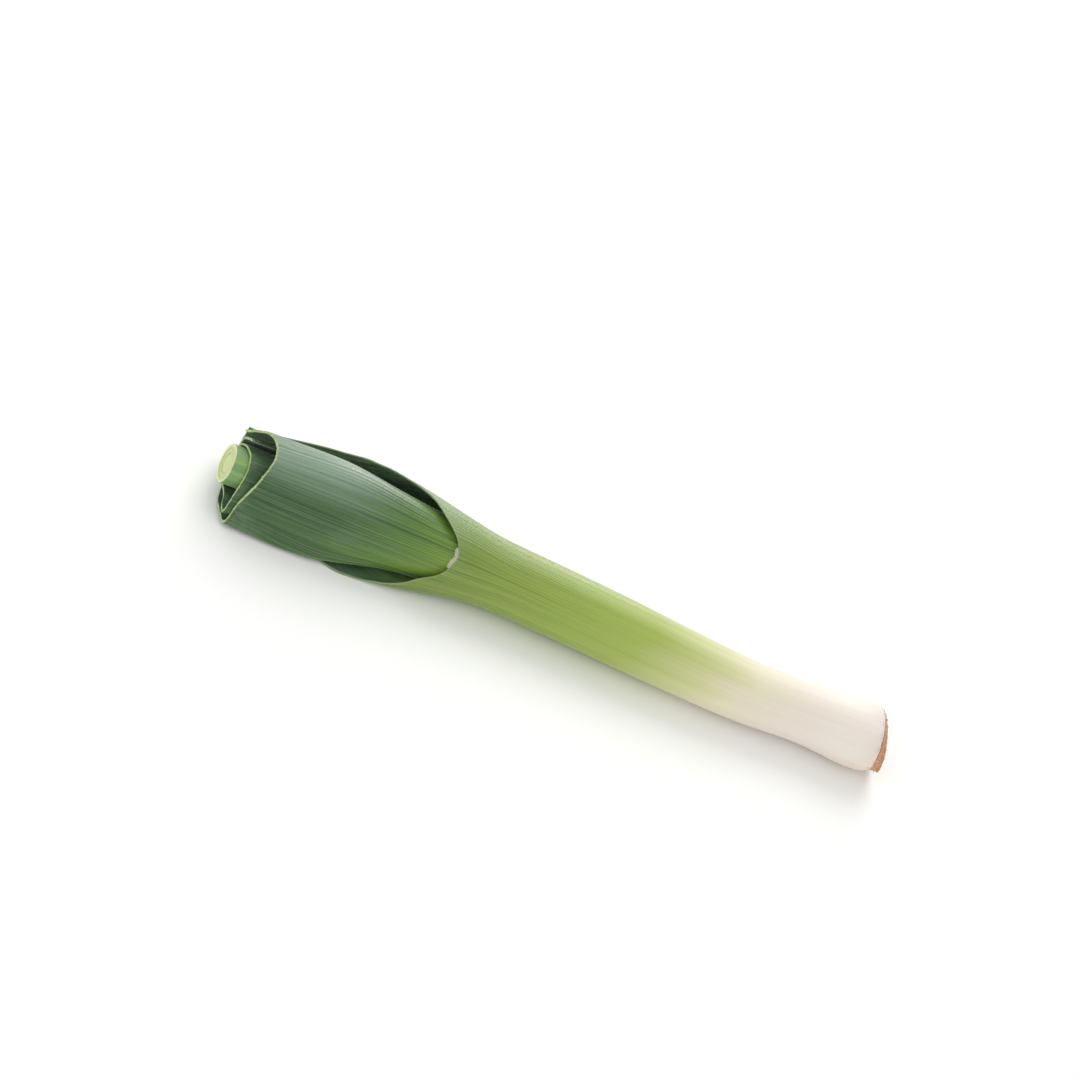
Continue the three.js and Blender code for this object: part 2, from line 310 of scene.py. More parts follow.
class Mesh:
    """Points, faces and marks gathered sheet by sheet, then made into one Blender mesh."""

    def __init__(self) -> None:
        """Starts empty."""
        self.points: list[np.ndarray] = []
        self.grain: list[np.ndarray] = []
        self.marks: list[np.ndarray] = []
        self.faces: list[np.ndarray] = []
        self.count = 0

    def add(
        self, points: np.ndarray, grain: Optional[np.ndarray] = None,
        marks: Optional[np.ndarray] = None,
    ) -> np.ndarray:
        """Adds a grid of points.

        Args:
            points: Rows of points in metres.
            grain: The place on the flat, unrolled leaf of each point, in mm.
            marks: Each point's cut edge, inner side and pale margin, from 0 to 1.

        Returns:
            The number of each point, in the same rows.
        """
        shape = points.shape[:-1]
        numbers = np.arange(self.count, self.count + int(np.prod(shape))).reshape(shape)
        self.points.append(points.reshape(-1, 3))
        self.grain.append((points / MM if grain is None else grain).reshape(-1, 3))
        self.marks.append((np.zeros_like(points) if marks is None else marks).reshape(-1, 3))
        self.count += numbers.size
        return numbers

    def loop(self, points: np.ndarray, grain: Optional[np.ndarray], mark: Triple) -> np.ndarray:
        """Adds one closed ring, which ends on the point that it starts from.

        Args:
            points: The ring's points in metres, with the first one given again at the end.
            grain: The place on the flat leaf of each point, in mm.
            mark: What marks all of them.

        Returns:
            The number of each point.
        """
        marks = np.tile(mark, (len(points), 1))
        row = self.add(points[None], None if grain is None else grain[None], marks[None])[0]
        row[-1] = row[0]
        return row

    def point(self, place: np.ndarray, grain: Optional[np.ndarray], mark: Triple) -> int:
        """Adds one point and returns its number."""
        grain = None if grain is None else grain[None, None]
        return int(self.add(place[None, None], grain, np.array([[mark]]))[0, 0])

    def sheet(self, rows: np.ndarray) -> None:
        """Covers a grid with faces.

        Args:
            rows: The point numbers, row by row.
        """
        a, b = rows[:-1], rows[1:]
        quads = np.stack([a[:, :-1], a[:, 1:], b[:, 1:], b[:, :-1]], axis=-1)
        self.faces.append(quads.reshape(-1, 4))

    def fan(self, ring: np.ndarray, centre: int) -> None:
        """Closes a ring of point numbers to one point."""
        middle = np.full(len(ring) - 1, centre)
        self.faces.append(np.stack([ring[:-1], ring[1:], middle, middle], axis=-1))

    def slab(self, top: np.ndarray, under: np.ndarray, grain: np.ndarray, marks: np.ndarray) -> None:
        """Adds a thin skin, closed all round.

        Args:
            top: Rows of points of its upper face, in metres.
            under: Rows of points of its lower face, in metres.
            grain: The place on the flat leaf of each pair of points, in mm.
            marks: The marks of each pair of points.
        """
        upper, lower = self.add(top, grain, marks), self.add(under, grain, marks)
        self.sheet(upper)
        self.sheet(lower[::-1])
        for first, second in (
            (lower[0], upper[0]), (upper[-1], lower[-1]), (upper[:, 0], lower[:, 0]),
            (lower[:, -1], upper[:, -1]),
        ):
            self.sheet(np.stack([first, second]))

    def piece(
        self, name: str, slot: Slot, finish: bpy.types.Material, sharp: float = 45
    ) -> bpy.types.Object:
        """Makes the gathered faces into an object of the leek.

        Args:
            name: The object's name.
            slot: Not used.
            finish: Its material.
            sharp: Edges bent by more than this many degrees stay sharp.

        Returns:
            The object, riding on the leek's one body.
        """
        points, quads = np.concatenate(self.points), np.concatenate(self.faces)
        used, turned = np.unique(quads, return_inverse=True)
        quads = turned.reshape(quads.shape)
        faces = [tuple(dict.fromkeys(face)) for face in quads.tolist()]
        mesh = bpy.data.meshes.new(name)
        mesh.from_pydata(points[used].tolist(), [], [face for face in faces if len(face) > 2])
        for label, values in (("grain", self.grain), ("marks", self.marks)):
            layer = mesh.attributes.new(label, "FLOAT_VECTOR", "POINT")
            layer.data.foreach_set("vector", np.concatenate(values)[used].astype(np.float32).ravel())
        mesh.update()
        mesh.shade_smooth()
        mesh.set_sharp_from_angle(angle=math.radians(sharp))
        mesh.materials.append(finish)
        made = into_scene(name, mesh)
        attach(made, "root")
        LOG.info("%s: %d faces", name, len(mesh.polygons))
        return made


@dataclass(frozen=True)
class BigLeaf:
    """A leaf with a sheath on the root plate, and usually a notch and an open blade.

    Its sheath lies depth mm inside the shank's own outside. Over the stations of its opening, it
    turns from that sheath into the blade's profile. Past its notch, its margins stand upper and
    lower degrees away from the notch. No point of its outside is under the floor.
    """

    name: str
    slot: Slot
    layer: int
    depth: float
    thickness: float
    blade_thickness: float
    notch_angle: float
    floor: float
    profile: Points
    opening: tuple[float, float]
    cut: Cut
    notch_station: Optional[float] = None
    upper: Points = ((0, 0), (1, 0))
    lower: Points = ((0, 0), (1, 0))
    fold: Optional[Fold] = None
    rib: float = 0.05
    blade_rib: float = 0.16
    unevenness: float = 0.1
    blade_unevenness: float = 0.22
    margin_thickness: float = 0.45
    margin_slope: float = 2.5
    pale_margin: tuple[float, float] = (0.1, 0.8)
    inside_lift: float = 0.9
    rim_start: float = 339.3
    rim_proud: float = 0.12
    parting: float = 0.4
    parting_length: float = 34.0
    turning_length: float = 60.0
    seed: int = 1
    columns: int = 220
    leek: Leek = field(default_factory=Leek)

    def foot(self) -> float:
        """Finds the sheath's foot.

        Returns:
            Its station, clear of the root plate's dome.
        """
        foot = self.leek.foot_station
        if self.layer == 0:
            return foot
        hole = float(through(self.leek.shank, np.array(foot))) - self.depth - self.thickness
        return self.leek.dome_station(hole) + self.leek.gap

    def stations(self) -> np.ndarray:
        """Spaces the rings, close at the bulb, the throat and the cut.

        Returns:
            The rings' stations, from the foot to the cut.
        """
        start, parts = self.foot(), []
        for end, outer_step, inner_step in RING_SPACING:
            parts.append(np.arange(start, end, outer_step if self.layer == 0 else inner_step))
            start = end
        return np.concatenate(parts + [np.array(LAST_RINGS)])

    def spread(self, station: np.ndarray, turn: np.ndarray) -> np.ndarray:
        """Past the notch, narrows the ring to what lies between the leaf's two margins.

        Args:
            station: The rings' stations.
            turn: Degrees round the leaf as a closed tube.

        Returns:
            Degrees round the leek's middle.
        """
        if self.notch_station is None:
            return turn
        share = (turn - self.notch_angle) / 360
        start = self.notch_angle + through(self.upper, station)
        end = self.notch_angle + 360 - through(self.lower, station)
        return start + (end - start) * share

    def vein_angle(self, station: np.ndarray, angle: np.ndarray) -> np.ndarray:
        """Which vein runs through each place.

        Args:
            station: Distance from the root face, in mm.
            angle: Degrees round the leek's middle.

        Returns:
            Where that vein is on the closed sheath, in degrees. Veins part round the notch, run
            beside the margins and are straight far from them.
        """
        if self.notch_station is None:
            return np.broadcast_to(angle, np.broadcast_shapes(station.shape, np.shape(angle)))
        away = np.mod(angle - self.notch_angle + 180, 360) - 180
        begin = self.notch_station - self.parting_length
        settled = self.notch_station + self.turning_length
        opened = np.where(away > 0, through(self.upper, station), through(self.lower, station))
        opened = opened * smoothstep(station, self.notch_station, settled)
        far = (180 - np.abs(away)) / (180 - opened)
        parted = self.parting * smoothstep(station, begin, self.notch_station)
        size = (np.abs(away) - opened * far**3) * (1 - parted * far**4)
        return self.notch_angle + np.sign(away) * size

    def radius(
        self, station: np.ndarray, angle: np.ndarray, along: Optional[np.ndarray] = None
    ) -> np.ndarray:
        """The leaf's smooth outside radius at each place.

        Args:
            station: The ring that each place belongs to, in mm from the root face.
            angle: Degrees round the leek's middle.
            along: The station that the ring leans to there, where that differs.

        Returns:
            The radius in mm.
        """
        sheath = through(self.leek.shank, station) - self.depth
        swell = through(self.leek.swell, station if along is None else along)
        blade = outline(self.profile, angle) * swell
        whole = sheath + (blade - sheath) * smoothstep(station, *self.opening)
        return whole + (self.fold.lift(station, angle) if self.fold else 0)

    def relief(self, station: np.ndarray, turn: np.ndarray) -> np.ndarray:
        """The ribs along the leaf, stronger on the blade, and its slow unevenness.

        Args:
            station: Distance from the root face, in mm.
            turn: Which vein each place is on, in degrees.

        Returns:
            How far each place stands out, in mm.
        """
        open_share = smoothstep(station, *self.opening)
        ribs = ripple(turn, self.seed, RIB_WAVES)
        slow = ripple(turn + 9 * np.sin(station / 31 + self.seed), self.seed + 5, SLOW_WAVES)
        height = self.rib + (self.blade_rib - self.rib) * open_share
        return height * ribs + slow * (self.unevenness + self.blade_unevenness * open_share)

    def grid(self, side: Side) -> tuple[np.ndarray, np.ndarray, np.ndarray]:
        """Lays out one face of the leaf.

        Args:
            side: Its outside or its inside.

        Returns:
            The points, their grain and their marks, ring by ring.
        """
        turn = self.notch_angle + np.linspace(0, 360, self.columns + 1)[None, :]
        station = self.stations()[:, None]
        angle = self.spread(station, turn)
        veins = self.vein_angle(station, angle)
        open_share = smoothstep(station, *self.opening)
        outside = self.radius(station, angle) + self.relief(station, veins)
        edge = self.edge_distance(station, turn)
        full = self.thickness + (self.blade_thickness - self.thickness) * open_share
        inwards = smoothstep(edge, 0, self.margin_slope)
        thinned = self.margin_thickness + (1 - self.margin_thickness) * inwards
        thickness = side.value * full * thinned
        along = self.leaning(station, turn, angle, outside - thickness)
        unswollen = self.radius(station, angle) - self.radius(station, angle, along)
        radius = outside - unswollen - thickness
        points = self.leek.place(along, angle, radius, self.floor + side.value * self.inside_lift)
        return points, self.grain_of(station, veins), self.marks_of(station, edge, side)

    def leaning(
        self, station: np.ndarray, turn: np.ndarray, angle: np.ndarray, radius: np.ndarray
    ) -> np.ndarray:
        """Leans a blade's last rings over until the last one lies on the knife's cut.

        Args:
            station: The rings' stations.
            turn: Degrees round the leaf as a closed tube.
            angle: Degrees round the leek's middle.
            radius: Distance from the leek's middle, in mm.

        Returns:
            The station of each place once its ring leans.
        """
        cut, length = self.cut, self.leek.length
        depth = np.maximum(self.leek.towards_notch(angle, radius), cut.back)
        end = cut.station - cut.slant * depth - cut.drop * radius * np.sin(np.radians(angle))
        end = end + cut.ragged * ripple(turn, self.seed + 9, CUT_WAVES)
        near = np.minimum(station, cut.straight_start)
        share = np.clip((near - cut.blend_start) / (length - cut.blend_start), 0, 1)
        leant = near + (end - near) * share
        last = np.clip((station - cut.straight_start) / (length - cut.straight_start), 0, 1)
        return leant + (end - leant) * last

    def edge_distance(self, station: np.ndarray, turn: np.ndarray) -> np.ndarray:
        """How far each place is from the leaf's nearer margin.

        Args:
            station: The rings' stations.
            turn: Degrees round the leaf as a closed tube.

        Returns:
            The distance in mm, and FAR on the closed sheath.
        """
        if self.notch_station is None:
            return np.full(np.broadcast_shapes(station.shape, turn.shape), FAR)
        share = (turn - self.notch_angle) / 360
        angle = self.spread(station, turn)
        start, end = (
            self.spread(station, np.array(self.notch_angle + whole)) for whole in (0.0, 360.0)
        )
        across = np.radians(end - start) * self.radius(station, angle) * np.minimum(share, 1 - share)
        return np.where(station > self.notch_station, across, FAR)

    def grain_of(self, station: np.ndarray, turn: np.ndarray) -> np.ndarray:
        """Where each place was on the leaf as a straight tube, so that veins run along it.

        Args:
            station: The rings' stations.
            turn: Which vein each place is on, in degrees.

        Returns:
            The places on that tube, in mm.
        """
        size, turned = TUBE_RADIUS - self.depth, np.radians(turn)
        rows = np.broadcast_shapes(station.shape, turn.shape)
        return together(rows, size * np.cos(turned), size * np.sin(turned), station)

    def marks_of(self, station: np.ndarray, edge: np.ndarray, side: Side) -> np.ndarray:
        """Marks the cut edge, the inner side and the pale margin."""
        rim = smoothstep(station, self.rim_start, self.leek.length)
        return together(edge.shape, rim, side.value, 1 - smoothstep(edge, *self.pale_margin))

    def build(self, finish: bpy.types.Material) -> None:
        """Builds the leaf as one closed sheet with a cut edge, over its CAD node.

        Args:
            finish: Its material.
        """
        mesh = Mesh()
        outer = mesh.add(*self.grid(Side.OUTSIDE))
        inner = mesh.add(*self.grid(Side.INSIDE))
        closed = self.stations() <= (self.notch_station or self.leek.length)
        outer[closed, -1], inner[closed, -1] = outer[closed, 0], inner[closed, 0]
        mesh.sheet(outer)
        mesh.sheet(inner[::-1])
        mesh.sheet(np.stack([inner[0], outer[0]]))
        self.close_cut(mesh, outer[-1], inner[-1])
        if self.notch_station is not None:
            first = int(np.flatnonzero(closed)[-1])
            mesh.sheet(np.stack([outer[first:, 0], inner[first:, 0]]))
            mesh.sheet(np.stack([inner[first:, -1], outer[first:, -1]]))
        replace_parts(mesh.piece(self.name + "_skin", self.slot, finish), self.name)

    def close_cut(self, mesh: Mesh, outer: np.ndarray, inner: np.ndarray) -> None:
        """Closes the cut edge, with its middle standing a little proud of its two skins.

        Args:
            mesh: What the leaf is gathered in.
            outer: The point numbers of the outside's last ring.
            inner: The point numbers of the inside's last ring.
        """
        points, grain = np.concatenate(mesh.points), np.concatenate(mesh.grain)
        middle = (points[outer] + points[inner]) / 2
        middle[:, 0] -= self.rim_proud * MM
        marks = np.tile([1.0, 0.5, 0.0], (len(outer), 1))
        row = mesh.add(middle[None], grain[outer][None], marks[None])[0]
        if outer[0] == outer[-1]:
            row[-1] = row[0]
        mesh.sheet(np.stack([outer, row, inner]))


OUTER_OPENING = (206.0, 280.0)
INNER_OPENING = (222.0, 300.0)

BIG_LEAVES = (
    BigLeaf(
        name="outer_leaf", slot=Slot.OUTER_LEAF, layer=0, depth=0, thickness=1.6,
        blade_thickness=1.3, notch_angle=44, notch_station=232, floor=0, opening=OUTER_OPENING,
        upper=((232, 0), (235, 21), (237, 29), (241, 41), (246, 54), (251, 67), (260, 81),
               (270, 90), (282, 96), (296, 106), (312, 119), (324, 123), (340, 122)),
        lower=((232, 0), (236, 32), (245, 56), (250, 68), (258, 77), (268, 81), (280, 83),
               (290, 90), (300, 102), (340, 116)),
        profile=((0, 20.4), (20, 19.6), (44, 20), (70, 22), (95, 24), (118, 25.4), (139, 25.6),
                 (160, 23.8), (180, 23.2), (200, 24), (217, 24.4), (230, 22.4), (246, 18.6),
                 (258, 17.4), (270, 17.1), (284, 17.9), (298, 20.8), (309, 24.6), (318, 26.8),
                 (326, 27), (337, 25), (348, 22.2)),
        cut=Cut(338, 0.1, 0.02), seed=3, columns=260, rib=0.04, blade_rib=0.14,
    ),
    BigLeaf(
        name="second_leaf", slot=Slot.INNER_LEAVES, layer=1, depth=1.9, thickness=1.5,
        blade_thickness=1.2, notch_angle=204, notch_station=258, floor=1.7, opening=INNER_OPENING,
        upper=((258, 0), (262, 13), (267, 27), (274, 42), (284, 54), (298, 61), (340, 66)),
        lower=((258, 0), (262, 13), (267, 26), (274, 38), (284, 48), (298, 54), (340, 58)),
        profile=((0, 16.8), (16, 16.8), (28, 17.3), (38.6, 18.2), (46.7, 19.3),
                 (58, 21.7), (68, 24.2), (76, 25.4), (84, 25.6), (92, 25.2), (101, 24),
                 (112, 22), (122, 20.1), (133, 18.7), (150, 18.2), (170, 19), (190, 20),
                 (210, 20.6), (222, 19.8), (235, 17.6), (246, 15.8), (258, 14.9), (270, 14.9),
                 (284, 15.6), (298, 17), (312, 18.2), (330, 18), (345, 17.2)),
        fold=Fold(326, 8.6, 11, 11, 245, 307),
        cut=Cut(338.5, 0.6, -0.01, ragged=0.3), seed=11, columns=280, rib=0.03, blade_rib=0.2,
    ),
    BigLeaf(
        name="third_leaf", slot=Slot.INNER_LEAVES, layer=2, depth=3.7, thickness=1.4,
        blade_thickness=1.1, notch_angle=44, notch_station=258, floor=3.6, opening=INNER_OPENING,
        upper=((258, 0), (262, 13), (267, 27), (274, 42), (284, 54), (298, 60), (340, 61)),
        lower=((258, 0), (262, 15), (267, 32), (274, 52), (284, 78), (298, 100), (340, 114)),
        profile=((0, 13.6), (20, 13.4), (44, 13.6), (70, 14.8), (90, 15.8), (105, 16),
                 (118, 15.6), (132, 15.1), (150, 15.4), (170, 16.6), (190, 17.6), (210, 18),
                 (222, 17.3), (235, 15.4), (246, 13.9), (258, 13.1), (270, 13.1), (284, 13.8),
                 (298, 15.6), (310, 17.2), (320, 17.4), (332, 15.8), (346, 14.2)),
        cut=Cut(338.5, 0.2), seed=17, columns=220, rib=0.02, blade_rib=0.12,
    ),
    BigLeaf(
        name="fourth_leaf", slot=Slot.INNER_LEAVES, layer=3, depth=5.4, thickness=1.2,
        blade_thickness=1.0, notch_angle=204, floor=5, opening=INNER_OPENING,
        profile=((0, 11.4), (90, 11.4), (180, 11.4), (270, 11.4)),
        fold=Fold(325, 11.5, 6, 17, 284, 322), cut=Cut(339, 0.4, 0.02),
        seed=23, columns=320, rib=0.02, blade_rib=0.1,
    ),
)


@dataclass(frozen=True)
class HeartLeaf:
    """One of the youngest leaves, still rolled up: a plain tube, or the rod in the middle.

    It narrows with the shank wherever that leaves less than heart_radius inside the sheaths.
    """

    name: str
    outside: float
    hole: float
    proud: float
    seed: int
    sheaths: float = 6.9
    heart_radius: float = 9.35
    rib: float = 0.05
    reach: float = 3.0
    ring_spacing: float = 12.0
    lean_start: float = 318.0
    rim_start: float = 339.4
    last_rings: tuple[float, ...] = (322, 326, 330, 334, 337, 338.6, 339.4, 339.8, 340)
    overlap_angle: float = 29.0
    overlap: float = 0.0
    overlap_rise: float = 4.0
    overlap_fade: float = 50.0
    face_slant: float = 0.22
    face_rings: int = 9
    face_wobble: float = 0.02
    face_waves: tuple[float, float] = (0.08, 4.2)
    face_rise: float = 0.05
    tip_rise: float = 0.1
    columns: int = 120
    leek: Leek = field(default_factory=Leek)

    def stations(self) -> np.ndarray:
        """Spaces the rings, close only near the cut face.

        Returns:
            The rings' stations, from the foot to the cut.
        """
        foot = self.leek.dome_station(self.hole) + self.leek.gap
        shank = np.arange(foot, self.lean_start, self.ring_spacing)
        return np.concatenate([shank, np.array(self.last_rings)])

    def ring(self, size: float, side: Side) -> tuple[np.ndarray, np.ndarray, np.ndarray]:
        """Lays out the tube's outside or its hole, with the step where the leaf's edges overlap.

        Args:
            size: The radius, in mm.
            side: The outside or the hole.

        Returns:
            The points, their grain and their marks, ring by ring.
        """
        turn = np.linspace(0, 360, self.columns + 1)[None, :]
        station = self.stations()[:, None]
        room = through(self.leek.shank, station) - self.sheaths
        past = np.mod(turn - self.overlap_angle, 360)
        step = self.overlap * np.exp(-past / self.overlap_fade) * smoothstep(past, 0, self.overlap_rise)
        size_here = size * np.minimum(1, room / self.heart_radius) - step * (1 - side.value)
        size_here = size_here + self.rib * ripple(turn, self.seed, (13, 21, 34))
        lean = self.face_slant * self.leek.towards_notch(turn, size_here)
        end = self.leek.length + self.reach - self.proud - lean
        share = np.clip((station - self.lean_start) / (self.leek.length - self.lean_start), 0, 1)
        along = station + (end - station) * share
        rows, turned = np.broadcast_shapes(station.shape, turn.shape), np.radians(turn)
        marks = together(rows, smoothstep(station, self.rim_start, self.leek.length), side.value, 0.0)
        grain = together(rows, size * np.cos(turned), size * np.sin(turned), station)
        return self.leek.place(along, turn, size_here), grain, marks

    def build(self, finish: bpy.types.Material) -> None:
        """Builds the rolled leaf with a cut face of fine rings.

        Args:
            finish: Its material.
        """
        mesh = Mesh()
        outer = mesh.add(*self.ring(self.outside, Side.OUTSIDE))
        outer[:, -1] = outer[:, 0]
        mesh.sheet(outer)
        if self.hole:
            inner = mesh.add(*self.ring(self.hole, Side.INSIDE))
            inner[:, -1] = inner[:, 0]
            mesh.sheet(inner[::-1])
            mesh.sheet(np.stack([inner[0], outer[0]]))
            self.face(mesh, outer[-1], self.hole, inner[-1])
        else:
            self.face(mesh, outer[-1], TIP_RADIUS, None)
            foot = self.leek.place(self.stations()[0], 0.0, 0.0)
            mesh.fan(outer[0][::-1], mesh.point(foot, None, (0.0, 0.0, 0.0)))
        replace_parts(mesh.piece(self.name + "_skin", Slot.HEART, finish, sharp=50), self.name)

    def face(self, mesh: Mesh, rim: np.ndarray, hole: float, inner: Optional[np.ndarray]) -> None:
        """Covers the cut face with rings that rise and sink a little, like its many layers.

        Args:
            mesh: What the leaf is gathered in.
            rim: The point numbers round the face.
            hole: The radius at which the rings stop, in mm.
            inner: The point numbers round the hole, or None where the face has none.
        """
        turn = np.linspace(0, 360, self.columns + 1)
        end = self.leek.length + self.reach - self.proud
        height, wave = self.face_waves
        rows = [rim]
        for size in np.linspace(self.outside, hole, self.face_rings)[1:-1]:
            wobble = size * (1 + self.face_wobble * ripple(turn, self.seed + 3, (3, 5, 8)))
            lean = self.face_slant * self.leek.towards_notch(turn, wobble)
            rise = height * math.cos(size * wave + self.seed) + self.face_rise
            points = self.leek.place(end - lean + rise, turn, wobble)
            across, up = points[:, 1] / MM, points[:, 2] / MM
            grain = together(turn.shape, across, up, self.leek.length - size)
            rows.append(mesh.loop(points, grain, (1.0, 0.0, size / FACE_MARK)))
        if inner is not None:
            rows.append(inner)
        mesh.sheet(np.stack(rows))
        if inner is None:
            centre = self.leek.place(end + self.tip_rise, 0.0, 0.0)
            grain = np.array([0.0, 0.0, self.leek.length])
            mesh.fan(rows[-1], mesh.point(centre, grain, (1.0, 0.0, 0.0)))


HEART_LEAVES = (
    HeartLeaf("fifth_leaf", 9.35, 7.24, 0.0, 31, overlap=0.5),
    HeartLeaf("sixth_leaf", 7.2, 5.04, 0.15, 37),
    HeartLeaf("heart", 5.0, 0.0, 0.3, 41),
)


@dataclass(frozen=True)
class RootPlate:
    """The basal plate: a cut, fibrous face and a rim of roots cut short.

    Its side_rings give a station and how far outside the face's edge that ring is. The widths of
    stubs and hairs are their radii, and each pair gives the least and the most, in mm.
    """

    rings: int = 48
    columns: int = 260
    first_ring: float = 0.6
    edge_inset: float = 0.7
    side_rings: Points = ((2.4, 0.45), (3.4, 0.7), (4.3, 0.7))
    dome_rings: tuple[float, ...] = (12.4, 9.0, 5.0)
    curl: float = 0.12
    pit: float = 0.07
    unevenness: float = 0.3
    out_of_round: float = 0.015
    ragged: tuple[float, float] = (0.22, 0.06)
    cut_ends: int = 170
    rim_roots: int = 120
    hairs: int = 40
    stub_inset: float = 0.5
    stub_width: tuple[float, float] = (0.2, 0.55)
    rim_band: tuple[float, float] = (0.9, 0.97)
    rim_depth: tuple[float, float] = (0.1, 2.0)
    rim_spread: float = 0.9
    scatter: float = 0.3
    hair_inset: tuple[float, float] = (0.3, 1.2)
    hair_depth: tuple[float, float] = (0.4, 2.0)
    hair_width: tuple[float, float] = (0.05, 0.09)
    hair_length: tuple[float, float] = (0.7, 1.7)
    hair_scatter: float = 0.4
    hair_forward: float = 0.8
    hair_room: float = 2.5
    floor_room: float = 0.4
    seed: int = 7
    leek: Leek = field(default_factory=Leek)

    def face_station(self, angle: np.ndarray, radius: np.ndarray) -> np.ndarray:
        """The slanting cut's station at a place on the face."""
        lean = radius * np.cos(np.radians(angle - self.leek.notch_angle - 90))
        return self.leek.root_cut_middle + self.leek.root_cut_slant * lean

    def build(self, finish: bpy.types.Material) -> None:
        """Builds the plate, its cut roots and its fine hairs.

        Args:
            finish: The material of them all.
        """
        rng = np.random.default_rng(self.seed)
        self.plate(finish, rng)
        self.stubs("root_cut_ends", self.cut_ends, (0.15, 0.93), (0.15, 0.4), finish, rng)
        self.stubs("root_rim", self.rim_roots, (0.93, 1.02), (0.3, 0.95), finish, rng)
        self.fine_hairs(finish, rng)

    def plate(self, finish: bpy.types.Material, rng: np.random.Generator) -> None:
        """Builds the plate itself over its CAD node, its face rough with short curled fibres.

        Args:
            finish: Its material.
            rng: Where its pits are drawn from.
        """
        turn = np.linspace(0, 360, self.columns + 1)
        edge = self.leek.root_rim_radius - self.edge_inset
        mesh, rows = Mesh(), []
        for radius in np.linspace(self.first_ring, edge, self.rings):
            waves = (int(2 + radius * 3), 31, 53)
            curls = self.curl * ripple(turn + 40 * math.sin(radius * 1.7), 3, waves)
            pits = rng.normal(0, self.pit, self.columns + 1) * min(1, radius / 5)
            slow = self.unevenness * ripple(turn, 4, (2, 3, 5)) * radius / edge
            size = radius * (1 + self.out_of_round * ripple(turn, 5, (7, 12, 19)))
            along = self.face_station(turn, size) + curls + pits + slow
            rows.append(self.ring(mesh, along, turn, size, 1.0))
        wavy, rough = self.ragged
        for height, outwards in self.side_rings:
            size = edge + outwards
            face = self.face_station(turn, np.array(size))
            along = np.maximum(face + 0.25 + 0.1 * (height - 2), height)
            size = size + wavy * ripple(turn, 8, (15, 31, 47)) + rng.normal(0, rough, self.columns + 1)
            rows.append(self.ring(mesh, along, turn, size, 0.4))
        for size in self.dome_rings:
            along = np.full(self.columns + 1, self.leek.dome_station(size))
            rows.append(self.ring(mesh, along, turn, np.full(self.columns + 1, size), 0.0))
        mesh.sheet(np.stack(rows))
        for row, station, mark in (
            (rows[0][::-1], self.leek.root_cut_middle, 1.0), (rows[-1], self.leek.dome_station(0), 0.0),
        ):
            centre = self.leek.place(station, 0.0, 0.0)
            mesh.fan(row, mesh.point(centre, None, (mark, 0.0, 0.0)))
        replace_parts(mesh.piece("root_plate_face", Slot.ROOT_PLATE, finish, sharp=70), "root_plate")

    def ring(
        self, mesh: Mesh, along: np.ndarray, turn: np.ndarray, size: np.ndarray, mark: float
    ) -> np.ndarray:
        """Adds one closed ring of the plate and returns its point numbers."""
        return mesh.loop(self.leek.place(along, turn, size), None, (mark, 0.0, 0.0))

    @staticmethod
    def outward(angle: float) -> Vector:
        """The way straight out from the leek's middle, at an angle."""
        return Vector((0, -math.cos(math.radians(angle)), math.sin(math.radians(angle))))

    def stubs(
        self, name: str, count: int, band: tuple[float, float], length: tuple[float, float],
        finish: bpy.types.Material, rng: np.random.Generator,
    ) -> None:
        """Builds roots cut short, which lean outwards at the rim.

        Args:
            name: The piece's name.
            count: How many there are.
            band: The shares of the plate's radius that they stand between.
            length: The shortest and the longest, in mm.
            finish: Their material.
            rng: Where their places are drawn from.
        """
        mesh = Mesh()
        for _ in range(count):
            share, angle = rng.uniform(*band), rng.uniform(0, 360)
            at_rim = smoothstep(np.array(share), *self.rim_band)
            radius = share * (self.leek.root_rim_radius - self.stub_inset)
            station = float(self.face_station(np.array(angle), np.array(radius)))
            station = station + rng.uniform(*self.rim_depth) * at_rim
            base = Vector(self.leek.place(station, angle, radius))
            spread = float(self.rim_spread * at_rim + rng.uniform(-self.scatter, self.scatter))
            way = Vector((1.0, 0, 0)) + self.outward(angle) * spread
            way = (way + Vector(rng.uniform(-self.scatter, self.scatter, 3))).normalized()
            self.stub(mesh, base, way, rng.uniform(*self.stub_width), rng.uniform(*length), rng)
        mesh.piece(name, Slot.ROOT_PLATE, finish, sharp=50)

    def stub(
        self, mesh: Mesh, base: Vector, way: Vector, size: float, length: float,
        rng: np.random.Generator,
    ) -> None:
        """Adds one root: a short, slightly bent, tapering stalk with a cut end.

        Args:
            mesh: What the roots are gathered in.
            base: Where it leaves the plate, in metres.
            way: Which way it points.
            size: Its radius, in mm.
            length: Its length, in mm.
            rng: Where its bend is drawn from.
        """
        side = way.orthogonal().normalized()
        across = way.cross(side)
        bend = Vector(rng.uniform(-self.scatter, self.scatter, 3))
        turns = np.linspace(0, 2 * math.pi, STUB_POINTS)
        rows = []
        for share, width in STUB_PROFILE:
            middle = base + (way + bend * share) * (length * share * MM)
            out = size * width * MM
            ring = [middle + (side * math.cos(t) + across * math.sin(t)) * out for t in turns]
            rows.append(mesh.loop(np.array(ring), None, (float(share == 1), 0.0, 0.0)))
        mesh.sheet(np.stack(rows))
        for row in (rows[0][::-1], rows[-1]):
            centre = np.concatenate(mesh.points)[row[:-1]].mean(axis=0)
            mesh.fan(row, mesh.point(centre, None, (0.0, 0.0, 0.0)))

